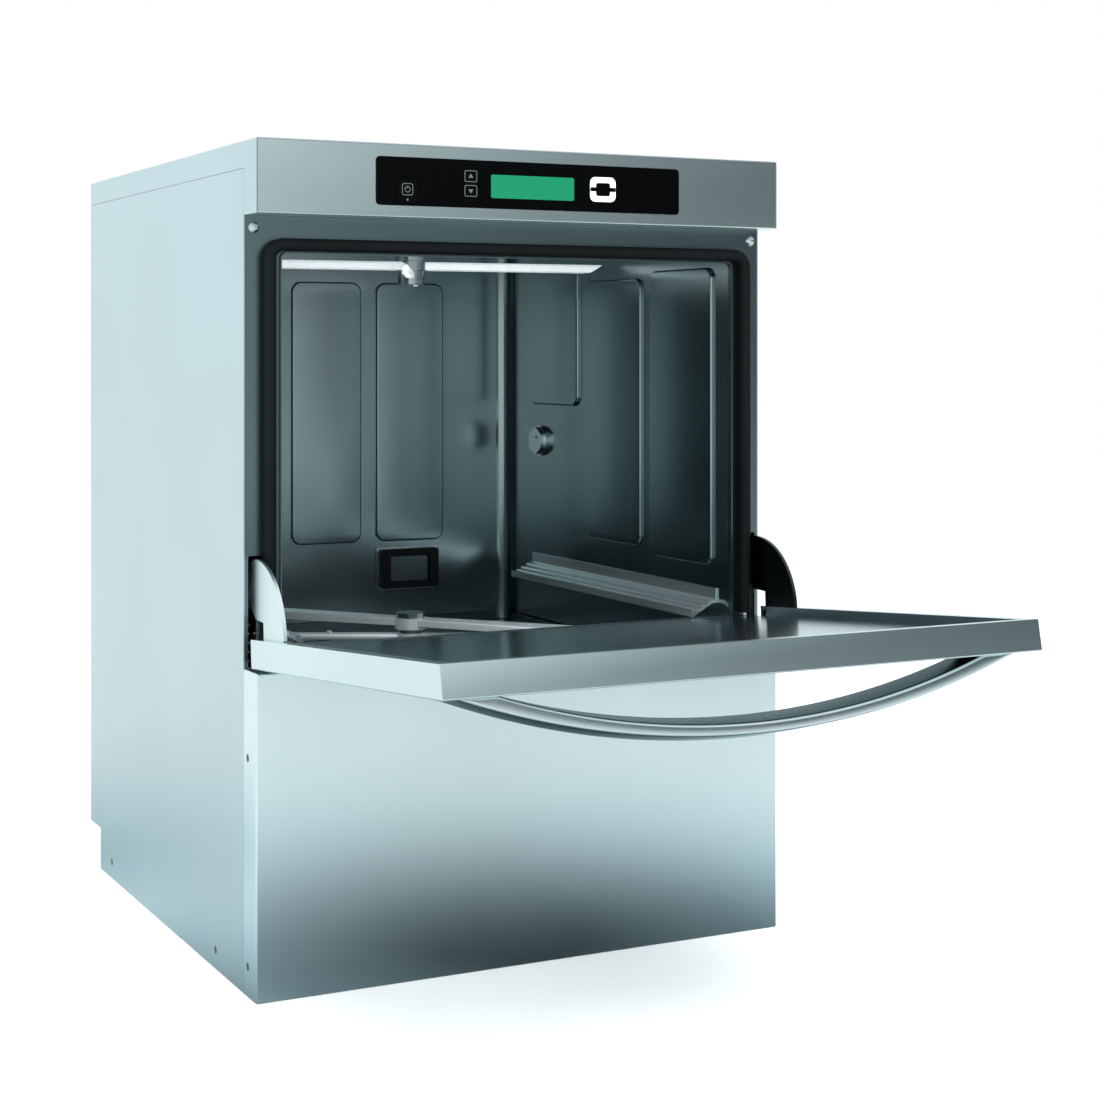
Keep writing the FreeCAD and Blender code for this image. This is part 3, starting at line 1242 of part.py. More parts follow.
def make_door_springs():
    """Two counterbalance springs below the arms' tails."""
    centre_x = (ARM_X[0] + ARM_X[1]) / 2
    y = behind(TAIL_HOLE[0])
    helix = Part.makeHelix(SPRING_PITCH, SPRING_HIGH - SPRING_LOW, SPRING_RADIUS)
    helix.translate(Vector(centre_x, y, SPRING_LOW))
    start = Vector(centre_x + SPRING_RADIUS, y, SPRING_LOW)
    section = Part.Wire([Part.Circle(start, Y_AXIS, SPRING_WIRE).toShape()])
    spring = Part.Wire(helix.Edges).makePipeShell([section], True, True)
    return group([spring, mirrored(spring)])


# ---------------------------------------------------------------- machine room
PUMP_DEPTH = 180.0
PUMP_HEIGHT = 95.0
PUMP_SHAFT = 6.0
VOLUTE_X = (-78.0, -28.0)
VOLUTE_RADIUS = 60.0
SUCTION_RADIUS = 15.0
FEED_RADIUS = 10.5
FEED_HEIGHT = 199.0
FEED_X = -52.0
REAR_PIPE_Y = 287.0


def pump_point(x):
    """Point on the wash pump's axis."""
    return Vector(x, behind(PUMP_DEPTH), PUMP_HEIGHT)


def make_wash_pump_motor():
    """Finned motor drum on a foot, with the shaft's bore in its end."""
    drum_end = -215.0
    drum_radius = 48.0
    fin_radius = 52.0
    fin_width = 3.0
    fin_pitch = 14.0
    fin_count = 8
    foot_x = (-190.0, -110.0)
    foot_y = (behind(PUMP_DEPTH - 35.0), behind(PUMP_DEPTH + 35.0))
    capacitor_radius = 16.0
    capacitor_rise = Z_AXIS * 66.0
    bore_depth = 40.0
    parts = [
        rod(pump_point(drum_end), pump_point(VOLUTE_X[0]), drum_radius),
        block(foot_x, foot_y, (PAN_TOP, PUMP_HEIGHT)),
        rod(pump_point(-200.0) + capacitor_rise, pump_point(-130.0) + capacitor_rise, capacitor_radius),
    ]
    for index in range(fin_count):
        x = foot_x[0] + index * fin_pitch
        parts.append(rod(pump_point(x), pump_point(x + fin_width), fin_radius))
    bore = rod(pump_point(VOLUTE_X[0] - bore_depth), pump_point(VOLUTE_X[0]), PUMP_SHAFT + RUNNING_GAP)
    return joined(parts).cut(bore)


def make_wash_pump_volute():
    """Hollow pump housing with the suction mouth in front and the outlet on top."""
    low_x, high_x = VOLUTE_X
    wall = 4.0
    outlet_wall = 3.0
    mouth_length = 18.0
    mouth_end = high_x + mouth_length
    outlet_top = FEED_HEIGHT - FEED_RADIUS - 6.0
    drum = rod(pump_point(low_x), pump_point(high_x), VOLUTE_RADIUS)
    outlet_base = pump_point(FEED_X)
    outlet = rod(outlet_base, Vector(FEED_X, outlet_base.y, outlet_top), FEED_RADIUS + outlet_wall)
    mouth = rod(pump_point(high_x), pump_point(mouth_end), SUCTION_RADIUS + wall)
    body = joined([drum, outlet, mouth])
    cutters = [
        rod(pump_point(low_x + wall), pump_point(high_x - wall), VOLUTE_RADIUS - wall),
        rod(pump_point(low_x - PAST), pump_point(low_x + wall + PAST), PUMP_SHAFT + RUNNING_GAP),
        rod(pump_point(high_x - wall - PAST), pump_point(mouth_end + PAST), SUCTION_RADIUS + FIT),
        rod(outlet_base, Vector(FEED_X, outlet_base.y, FEED_HEIGHT), FEED_RADIUS + FIT),
    ]
    return without(body, cutters)


def make_pump_impeller():
    """Impeller disc with eight blades on the pump shaft."""
    blade_count = 8
    blade_half = 1.5
    blade_reach = (9.0, 43.0)
    disc_radius = 45.0
    hub_radius = 12.0
    start = VOLUTE_X[0] + 10.0
    disc_end = start + 4.0
    blade_x = (disc_end - PAST, start + 17.0)
    disc = rod(pump_point(start), pump_point(disc_end), disc_radius)
    shaft = rod(pump_point(VOLUTE_X[0] - 35.0), pump_point(VOLUTE_X[0] + 30.0), PUMP_SHAFT)
    hub = rod(pump_point(start), pump_point(start + 18.0), hub_radius)
    parts = [disc, shaft, hub]
    centre = pump_point(0)
    for index in range(blade_count):
        blade = block(blade_x, (centre.y - blade_half, centre.y + blade_half),
                      (centre.z + blade_reach[0], centre.z + blade_reach[1]))
        blade.rotate(centre, X_AXIS, index * 360.0 / blade_count)
        parts.append(blade)
    return joined(parts)


def make_wash_pipes():
    """Feed pipe from the pump to both spindles, and the suction pipe from the sump."""
    pump = pump_point(FEED_X)
    under_hub = Vector(HUB.x, HUB.y, FEED_HEIGHT)
    rear_low = Vector(FEED_X, REAR_PIPE_Y, FEED_HEIGHT)
    ceiling_height = TUB_CEILING + 44.0
    outlet_height = FEED_HEIGHT - 26.0
    rear_high = Vector(FEED_X, REAR_PIPE_Y, ceiling_height)
    over_hub = Vector(FEED_X, HUB.y, ceiling_height)
    hub_top = Vector(HUB.x, HUB.y, ceiling_height)
    riser = Vector(FEED_X, pump.y, FEED_HEIGHT)
    feed = pipe_run([Vector(FEED_X, pump.y, outlet_height), riser, rear_low, rear_high, over_hub, hub_top,
                     Vector(HUB.x, HUB.y, TUB_CEILING + SPINDLE_ABOVE_CEILING)], FEED_RADIUS)
    branch = pipe_run([Vector(FEED_X, HUB.y, FEED_HEIGHT), under_hub, Vector(HUB.x, HUB.y, SPINDLE_BOTTOM)],
                      FEED_RADIUS)
    sump = sump_centre(SUMP_FLOOR)
    suction = pipe_run([sump, Vector(sump.x, sump.y, PUMP_HEIGHT), Vector(sump.x, pump.y, PUMP_HEIGHT),
                        pump_point(VOLUTE_X[1])], SUCTION_RADIUS)
    return group([joined([feed, branch]), suction])


def make_rinse_boiler():
    """Insulated rinse-water boiler drum with its heater flange, three terminals and two saddles."""
    centre = Vector(0, behind(430.0), 100.0)
    half_length = 110.0
    drum_radius = 74.0
    drum_bend = 10.0
    flange_end = 122.0
    flange_radius = 36.0
    saddle_width = 20.0
    saddle_half = 40.0
    saddle_top = 50.0
    terminal_circle = 22.0
    terminal_end = 136.0
    terminal_radius = 4.0
    drum = rod(centre - X_AXIS * half_length, centre + X_AXIS * half_length, drum_radius)
    drum = drum.makeFillet(drum_bend, [edge for edge in drum.Edges if isinstance(edge.Curve, Part.Circle)])
    flange = rod(centre + X_AXIS * (half_length - PAST), centre + X_AXIS * flange_end, flange_radius)
    parts = [drum, flange]
    for x in (-80.0, 60.0):
        saddle_y = (centre.y - saddle_half, centre.y + saddle_half)
        parts.append(block((x, x + saddle_width), saddle_y, (PAN_TOP, saddle_top)))
    for angle in (90, 210, 330):
        turn = math.radians(angle)
        base = centre + Vector(0, terminal_circle * math.cos(turn), terminal_circle * math.sin(turn))
        parts.append(rod(base + X_AXIS * (flange_end - PAST), base + X_AXIS * terminal_end, terminal_radius))
    return joined(parts)


def make_drain_pump():
    """Small drain pump below the standpipe's socket."""
    centre = Vector(STANDPIPE_X, behind(STANDPIPE_DEPTH), 60.0)
    motor_length = 52.0
    motor_radius = 26.0
    chamber_length = 34.0
    chamber_radius = 32.0
    inlet_length = 60.0
    inlet_radius = 12.0
    foot_x = (STANDPIPE_X - 40.0, STANDPIPE_X + 20.0)
    foot_half = 20.0
    foot_z = (27.0, 50.0)
    inlet_base = centre + X_AXIS * chamber_length / 2
    motor = rod(centre - X_AXIS * motor_length, centre, motor_radius)
    chamber = rod(centre, centre + X_AXIS * chamber_length, chamber_radius)
    inlet = rod(inlet_base, inlet_base + Z_AXIS * inlet_length, inlet_radius)
    foot = block(foot_x, (centre.y - foot_half, centre.y + foot_half), foot_z)
    return joined([motor, chamber, inlet, foot])


def make_water_inlet_valve():
    """Inlet fitting: thread that stands out into the recess, collar behind the plate."""
    face = Vector(INLET_X, NOTCH_FACE, SERVICE_HEIGHT)
    bore = 8.0
    flange_radius = 17.0
    collar_reach = 8.0
    neck_reach = 4.0
    flange_face = face + Y_AXIS * INLET_FLANGE
    collar = tube(face - Y_AXIS * collar_reach, face - Y_AXIS * (SHEET + SEAM), flange_radius, bore)
    neck = tube(face - Y_AXIS * neck_reach, face + Y_AXIS, INLET_NECK, bore)
    flange = tube(face, flange_face, flange_radius, bore)
    thread = tube(flange_face, flange_face + Y_AXIS * INLET_THREAD, INLET_RADIUS, bore)
    return joined([collar, neck, flange, thread])


def make_drain_spigot():
    """Plain outlet pipe for the drain hose in the recess."""
    face = Vector(DRAIN_X, NOTCH_FACE, SERVICE_HEIGHT)
    neck_reach = 12.0
    flange_radius = DRAIN_OUTER + 5.0
    flange_face = face + Y_AXIS * DRAIN_FLANGE
    neck = tube(face - Y_AXIS * neck_reach, face + Y_AXIS, DRAIN_NECK, DRAIN_INNER)
    flange = tube(face, flange_face, flange_radius, DRAIN_INNER)
    pipe = tube(flange_face, flange_face + Y_AXIS * DRAIN_PIPE, DRAIN_OUTER, DRAIN_INNER)
    return joined([neck, flange, pipe])


def make_cable_gland():
    """Cable gland for the mains lead in the recess."""
    face = Vector(GLAND_X, NOTCH_FACE, SERVICE_HEIGHT)
    body_end = 4.0
    nut_end = 5.0
    nut_flats = 24.0
    dome_end = 19.0
    dome_flats = 22.0
    start = face - Y_AXIS * SHEET
    body = rod(start, face + Y_AXIS * body_end, GLAND_BODY)
    nut = hexagon(face, face + Y_AXIS * nut_end, nut_flats)
    dome = hexagon(face + Y_AXIS * nut_end, face + Y_AXIS * dome_end, dome_flats)
    gland = joined([body, nut, dome])
    return gland.cut(rod(start - Y_AXIS, face + Y_AXIS * (dome_end + PAST), GLAND_BORE))


DOSING_X = 232.0
DOSING_DEPTH = 330.0
DOSING_HEIGHT = 110.0
DOSING_POCKET = 23.0
DOSING_SHAFT = 4.0


def dosing_point(offset):
    """Point on the dosing rotor's axis; the pocket opens to the front."""
    return Vector(DOSING_X, behind(DOSING_DEPTH) + offset, DOSING_HEIGHT)


def make_dosing_pump():
    """Hose pump for the detergent: housing with a round pocket, motor behind it."""
    half = 29.0
    thickness = 26.0
    corner = 8.0
    motor_end = 70.0
    motor_radius = 18.0
    stand_half = 12.0
    stand_inset = 2.0
    pocket_depth = 18.0
    bore_end = 40.0
    housing_x = (DOSING_X - half, DOSING_X + half)
    housing_y = (behind(DOSING_DEPTH), behind(DOSING_DEPTH + thickness))
    housing = block(housing_x, housing_y, (DOSING_HEIGHT - half, DOSING_HEIGHT + half))
    housing = soft(housing, Y_AXIS, corner)
    motor = rod(dosing_point(thickness - PAST), dosing_point(motor_end), motor_radius)
    stand_x = (DOSING_X - stand_half, DOSING_X + stand_half)
    stand_y = (housing_y[0] + stand_inset, housing_y[1] - stand_inset)
    stand = block(stand_x, stand_y, (PAN_TOP, DOSING_HEIGHT - motor_radius))
    pump = joined([housing, motor, stand])
    pocket = rod(dosing_point(-PAST), dosing_point(pocket_depth), DOSING_POCKET)
    bore = rod(dosing_point(pocket_depth - PAST), dosing_point(bore_end), DOSING_SHAFT + RUNNING_GAP)
    return without(pump, [pocket, bore])


def make_dosing_rotor():
    """Rotor with three rollers that squeeze the dosing hose."""
    disc_y = (4.0, 8.0)
    shaft_y = (2.0, 34.0)
    roller_end = 16.0
    roller_count = 3
    roller_radius = 5.0
    roller_circle = 14.0
    disc_radius = 17.0
    disc = rod(dosing_point(disc_y[0]), dosing_point(disc_y[1]), disc_radius)
    shaft = rod(dosing_point(shaft_y[0]), dosing_point(shaft_y[1]), DOSING_SHAFT)
    parts = [disc, shaft]
    for index in range(roller_count):
        angle = 2 * math.pi * index / roller_count + math.pi / 2
        offset = Vector(roller_circle * math.cos(angle), 0, roller_circle * math.sin(angle))
        parts.append(rod(dosing_point(disc_y[0]) + offset, dosing_point(roller_end) + offset, roller_radius))
    return joined(parts)


def make_electrical_box():
    """Closed terminal and contactor box on the base pan, with a lid that overhangs it."""
    x_range = (-270.0, -175.0)
    y_range = (behind(300.0), behind(440.0))
    body_top = 120.0
    lid_top = 128.0
    overhang = 2.0
    corner = 4.0
    body = soft(block(x_range, y_range, (PAN_TOP, body_top)), Z_AXIS, corner)
    lid_x = (x_range[0] - overhang, x_range[1] + overhang)
    lid_y = (y_range[0] - overhang, y_range[1] + overhang)
    lid = soft(block(lid_x, lid_y, (body_top, lid_top)), Z_AXIS, corner)
    return joined([body, lid])


# ---------------------------------------------------------------- all nodes
def all_nodes():
    """Node name and shape for the whole machine."""
    nodes = {
        "base_frame": make_base_frame(),
        "side_panel_left": make_side_panel(-1),
        "side_panel_right": make_side_panel(1),
        "top_cover": make_top_cover(),
        "back_panel": make_back_panel(),
        "service_recess_plate": make_service_recess_plate(),
        "lower_front_panel": make_lower_front_panel(),
        "cover_screws": make_cover_screws(),
        "control_fascia": make_control_fascia(),
        "control_overlay": make_control_overlay(),
        "display_module": make_display_module(),
        "control_board": make_control_board(),
        "door_surround_frame": make_door_surround_frame(),
        "door_gasket": make_door_gasket(),
        "tub_left_wall": make_tub_side_wall(-1),
        "tub_right_wall": make_tub_side_wall(1),
        "tub_back_wall": make_tub_back_wall(),
        "tub_ceiling": make_tub_ceiling(),
        "wash_tank": make_wash_tank(),
        "rack_rails": make_rack_rails(),
        "overflow_hood_frame": make_overflow_hood_frame(),
        "overflow_hood_plate": make_overflow_hood_plate(),
        "wall_fitting": make_wall_fitting(),
        "upper_spindle": make_upper_spindle(),
        "lower_spindle": make_lower_spindle(),
        "upper_wash_arm": make_upper_wash_arm(),
        "upper_rinse_arm": make_rinse_arm(UPPER_RINSE_Z, 205.0, -1, UPPER_RINSE_ANGLE),
        "lower_wash_arm": make_lower_wash_arm(),
        "lower_rinse_arm": make_rinse_arm(LOWER_RINSE_Z, 235.0, 1, LOWER_RINSE_ANGLE),
        "filter_tray": make_filter_tray(),
        "overflow_standpipe": make_overflow_standpipe(),
        "tank_heater": make_tank_heater(),
        "door_outer_skin": make_door_outer_skin(),
        "door_inner_liner": make_door_inner_liner(),
        "door_handle": make_door_handle(),
        "hinge_arm_left": make_hinge_arm(-1),
        "hinge_arm_right": make_hinge_arm(1),
        "hinge_brackets": make_hinge_brackets(),
        "hinge_pins": make_hinge_pins(),
        "door_springs": make_door_springs(),
        "wash_pump_motor": make_wash_pump_motor(),
        "wash_pump_volute": make_wash_pump_volute(),
        "pump_impeller": make_pump_impeller(),
        "wash_pipes": make_wash_pipes(),
        "rinse_boiler": make_rinse_boiler(),
        "drain_pump": make_drain_pump(),
        "water_inlet_valve": make_water_inlet_valve(),
        "drain_spigot": make_drain_spigot(),
        "cable_gland": make_cable_gland(),
        "dosing_pump": make_dosing_pump(),
        "dosing_rotor": make_dosing_rotor(),
        "electrical_box": make_electrical_box(),
    }
    for name in BUTTONS:
        nodes[name] = make_button(name)
    foot_names = ("foot_front_left", "foot_front_right", "foot_back_left", "foot_back_right")
    for name, centre in zip(foot_names, foot_centres()):
        nodes[name] = make_levelling_foot(centre)
    return nodes


def write_nodes():
    """Write one STEP file for each node and print its solids and volume."""
    os.makedirs("parts", exist_ok=True)
    for name, shape in all_nodes().items():
        shape.exportStep("parts/" + name + ".step")
        state = "valid" if shape.isValid() else "NOT VALID"
        print(name, len(shape.Solids), "solids", round(shape.Volume / 1000, 2), "cm3", state)


write_nodes()
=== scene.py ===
import json
import math

import bmesh
import bpy
from mathutils import Matrix, Vector


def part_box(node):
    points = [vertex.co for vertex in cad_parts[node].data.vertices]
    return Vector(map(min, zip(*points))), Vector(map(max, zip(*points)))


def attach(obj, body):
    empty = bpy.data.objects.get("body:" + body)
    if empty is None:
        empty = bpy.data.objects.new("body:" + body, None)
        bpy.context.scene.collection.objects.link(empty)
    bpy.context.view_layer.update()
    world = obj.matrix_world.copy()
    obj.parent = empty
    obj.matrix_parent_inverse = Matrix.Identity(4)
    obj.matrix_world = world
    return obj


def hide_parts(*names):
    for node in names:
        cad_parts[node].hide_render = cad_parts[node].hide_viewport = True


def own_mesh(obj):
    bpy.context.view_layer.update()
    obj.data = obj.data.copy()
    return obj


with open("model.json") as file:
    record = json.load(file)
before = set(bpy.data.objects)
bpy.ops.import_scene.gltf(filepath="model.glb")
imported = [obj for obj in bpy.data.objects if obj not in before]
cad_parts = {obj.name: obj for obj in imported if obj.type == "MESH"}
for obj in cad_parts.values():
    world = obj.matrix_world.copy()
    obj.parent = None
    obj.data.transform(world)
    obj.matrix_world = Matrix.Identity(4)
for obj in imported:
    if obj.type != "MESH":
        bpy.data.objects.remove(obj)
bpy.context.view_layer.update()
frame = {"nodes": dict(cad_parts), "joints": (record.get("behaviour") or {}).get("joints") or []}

# ---------------------------------------------------------------- places taken from the frame
NODES = frame["nodes"]
DOOR_JOINT = next(joint for joint in frame["joints"] if joint["name"] == "door_hinge")
PIVOT = Vector(DOOR_JOINT["pos_m"])
OPEN_ANGLE = math.radians(DOOR_JOINT["range_deg"][1])
DOOR_TO_REST = Matrix.Translation(PIVOT) @ Matrix.Rotation(OPEN_ANGLE, 4, "X") @ Matrix.Translation(-PIVOT)
MM = 0.001


def closed_box(node):
    """Lowest and highest corner of a door node with the door closed."""
    to_closed = DOOR_TO_REST.inverted()
    points = [to_closed @ vertex.co for vertex in NODES[node].data.vertices]
    low = Vector([min(point[axis] for point in points) for axis in range(3)])
    high = Vector([max(point[axis] for point in points) for axis in range(3)])
    return low, high


# ---------------------------------------------------------------- meshes
def add_piece(name, vertices, faces, material, body, smooth=False):
    """New mesh object that rides on a body."""
    mesh = bpy.data.meshes.new(name)
    mesh.from_pydata([tuple(vertex) for vertex in vertices], [], faces)
    mesh.validate()
    work = bmesh.new()
    work.from_mesh(mesh)
    bmesh.ops.recalc_face_normals(work, faces=work.faces)
    work.to_mesh(mesh)
    work.free()
    for polygon in mesh.polygons:
        polygon.use_smooth = smooth
    piece = bpy.data.objects.new(name, mesh)
    bpy.context.scene.collection.objects.link(piece)
    mesh.materials.append(material)
    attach(piece, body)
    return piece


def ring_faces(rows, count, closed_ends=True):
    """Faces of a skin over equal rings of points."""
    faces = []
    for row in range(rows - 1):
        for index in range(count):
            after = (index + 1) % count
            faces.append((row * count + index, row * count + after,
                          (row + 1) * count + after, (row + 1) * count + index))
    if closed_ends:
        faces.append(tuple(reversed(range(count))))
        faces.append(tuple(range((rows - 1) * count, rows * count)))
    return faces


def rounded_outline(half_width, half_height, corner, steps=6):
    """Points round a rounded rectangle centred on (0, 0)."""
    points = []
    for turn, (sign_x, sign_z) in enumerate(((1, 1), (-1, 1), (-1, -1), (1, -1))):
        for step in range(steps + 1):
            angle = math.pi / 2 * (turn + step / steps)
            points.append((sign_x * (half_width - corner) + corner * math.cos(angle),
                           sign_z * (half_height - corner) + corner * math.sin(angle)))
    return points


def circle_outline(radius, count=32):
    """Points round a circle centred on (0, 0)."""
    return [(radius * math.cos(2 * math.pi * index / count), radius * math.sin(2 * math.pi * index / count))
            for index in range(count)]


def front_plate(name, outline, centre, thickness, material, body):
    """Thin plate that faces the front, with its back on the centre point's plane."""
    count = len(outline)
    rows = []
    for depth in (0.0, -thickness):
        rows += [Vector((centre.x + x, centre.y + depth, centre.z + z)) for x, z in outline]
    return add_piece(name, rows, ring_faces(2, count), material, body)


def front_frame(name, outer, inner, centre, thickness, material, body):
    """Thin flat frame between two outlines with the same number of points."""
    count = len(outer)
    rows = []
    for outline, depth in ((outer, 0.0), (outer, -thickness), (inner, -thickness), (inner, 0.0)):
        rows += [Vector((centre.x + x, centre.y + depth, centre.z + z)) for x, z in outline]
    faces = ring_faces(4, count, closed_ends=False)
    for index in range(count):
        after = (index + 1) % count
        faces.append((3 * count + index, 3 * count + after, after, index))
    return add_piece(name, rows, faces, material, body)


# ---------------------------------------------------------------- materials
NOISE_LOW = 0.3                  # noise seldom goes below or above these two values
NOISE_HIGH = 0.7
RELIEF = 0.2 * MM                # depth of fine relief, scaled by each material's strength
STEEL_CLOUDS = 4.0               # slow drifts over a metre
PLASTIC_CLOUDS = 9.0
PLASTIC_DRIFT = 0.06
PLASTIC_GLOSS_RANGE = 0.1
PIXEL_ROWS = (60.0, 60.0, 1500.0)
PIXEL_DRIFT = 0.08
UNLIT_SHARE = 0.1                # colour of the display's glass as a share of its light
GRAIN_FINE = 2600.0              # brushed grain across its lines, over a metre
GRAIN_LONG = 14.0                # and along them


def new_material(name):
    """Empty node material and its shader."""
    material = bpy.data.materials.new(name)
    material.use_nodes = True
    return material, material.node_tree, material.node_tree.nodes["Principled BSDF"]


def stretched_noise(tree, stretch, detail=3.0):
    """Noise over the object's own coordinates, scaled along each axis."""
    coordinates = tree.nodes.new("ShaderNodeTexCoord")
    mapping = tree.nodes.new("ShaderNodeMapping")
    mapping.inputs["Scale"].default_value = stretch
    noise = tree.nodes.new("ShaderNodeTexNoise")
    noise.inputs["Scale"].default_value = 1.0
    noise.inputs["Detail"].default_value = detail
    tree.links.new(coordinates.outputs["Object"], mapping.inputs["Vector"])
    tree.links.new(mapping.outputs["Vector"], noise.inputs["Vector"])
    return noise


def spread(tree, source, low, high):
    """Map the usual span of a noise to a range."""
    mapped = tree.nodes.new("ShaderNodeMapRange")
    mapped.inputs["From Min"].default_value = NOISE_LOW
    mapped.inputs["From Max"].default_value = NOISE_HIGH
    mapped.inputs["To Min"].default_value = low
    mapped.inputs["To Max"].default_value = high
    tree.links.new(source, mapped.inputs["Value"])
    return mapped.outputs["Result"]


def add_bump(tree, shader, source, strength):
    """Fine relief from a noise."""
    bump = tree.nodes.new("ShaderNodeBump")
    bump.inputs["Strength"].default_value = strength
    bump.inputs["Distance"].default_value = RELIEF
    tree.links.new(source, bump.inputs["Height"])
    tree.links.new(bump.outputs["Normal"], shader.inputs["Normal"])


def varied_colour(tree, shader, source, colour, variation):
    """Base colour that drifts a little lighter and darker."""
    ramp = tree.nodes.new("ShaderNodeValToRGB")
    dark = [channel * (1 - variation) for channel in colour]
    light = [min(1.0, channel * (1 + variation)) for channel in colour]
    ramp.color_ramp.elements[0].position = NOISE_LOW
    ramp.color_ramp.elements[0].color = (*dark, 1)
    ramp.color_ramp.elements[1].position = NOISE_HIGH
    ramp.color_ramp.elements[1].color = (*light, 1)
    tree.links.new(source, ramp.inputs["Fac"])
    tree.links.new(ramp.outputs["Color"], shader.inputs["Base Color"])


def steel(name, colour, roughness, grain_axis=0, grain=0.05, variation=0.03, metallic=1.0, gloss_range=0.12,
          painted_glow=0.0):
    """Brushed steel or brass: long fine grain in relief and gloss, slow drift of colour, perhaps a painted
    glow that lights the steel though it is no lamp.
    """
    material, tree, shader = new_material(name)
    shader.inputs["Metallic"].default_value = metallic
    # painted glow: emission in the steel's own colour stands in for its highlights
    if painted_glow:
        shader.inputs["Emission Color"].default_value = (*colour, 1)
        shader.inputs["Emission Strength"].default_value = painted_glow
    stretch = [GRAIN_FINE] * 3
    stretch[grain_axis] = GRAIN_LONG
    lines = stretched_noise(tree, stretch)
    clouds = stretched_noise(tree, (STEEL_CLOUDS,) * 3, 4.0)
    varied_colour(tree, shader, clouds.outputs["Fac"], colour, variation)
    gloss = spread(tree, lines.outputs["Fac"], roughness * (1 - gloss_range), roughness * (1 + gloss_range))
    tree.links.new(gloss, shader.inputs["Roughness"])
    add_bump(tree, shader, lines.outputs["Fac"], grain)
    return material


def plastic(name, colour, roughness, texture=900.0, bump=0.05, shine=0.5):
    """Moulded plastic or film with a fine texture."""
    material, tree, shader = new_material(name)
    grain = stretched_noise(tree, (texture,) * 3, 2.0)
    clouds = stretched_noise(tree, (PLASTIC_CLOUDS,) * 3)
    varied_colour(tree, shader, clouds.outputs["Fac"], colour, PLASTIC_DRIFT)
    gloss = spread(tree, grain.outputs["Fac"], roughness * (1 - PLASTIC_GLOSS_RANGE),
                   roughness * (1 + PLASTIC_GLOSS_RANGE))
    tree.links.new(gloss, shader.inputs["Roughness"])
    add_bump(tree, shader, grain.outputs["Fac"], bump)
    shader.inputs["Specular IOR Level"].default_value = shine
    return material


def glowing(name, colour, strength, roughness):
    """Lit display glass with faint pixel rows."""
    material, tree, shader = new_material(name)
    rows = stretched_noise(tree, PIXEL_ROWS, 1.0)
    unlit = [channel * UNLIT_SHARE for channel in colour]
    varied_colour(tree, shader, rows.outputs["Fac"], unlit, PIXEL_DRIFT)
    shader.inputs["Roughness"].default_value = roughness
    shader.inputs["Emission Color"].default_value = (*colour, 1)
    shader.inputs["Emission Strength"].default_value = strength
    return material


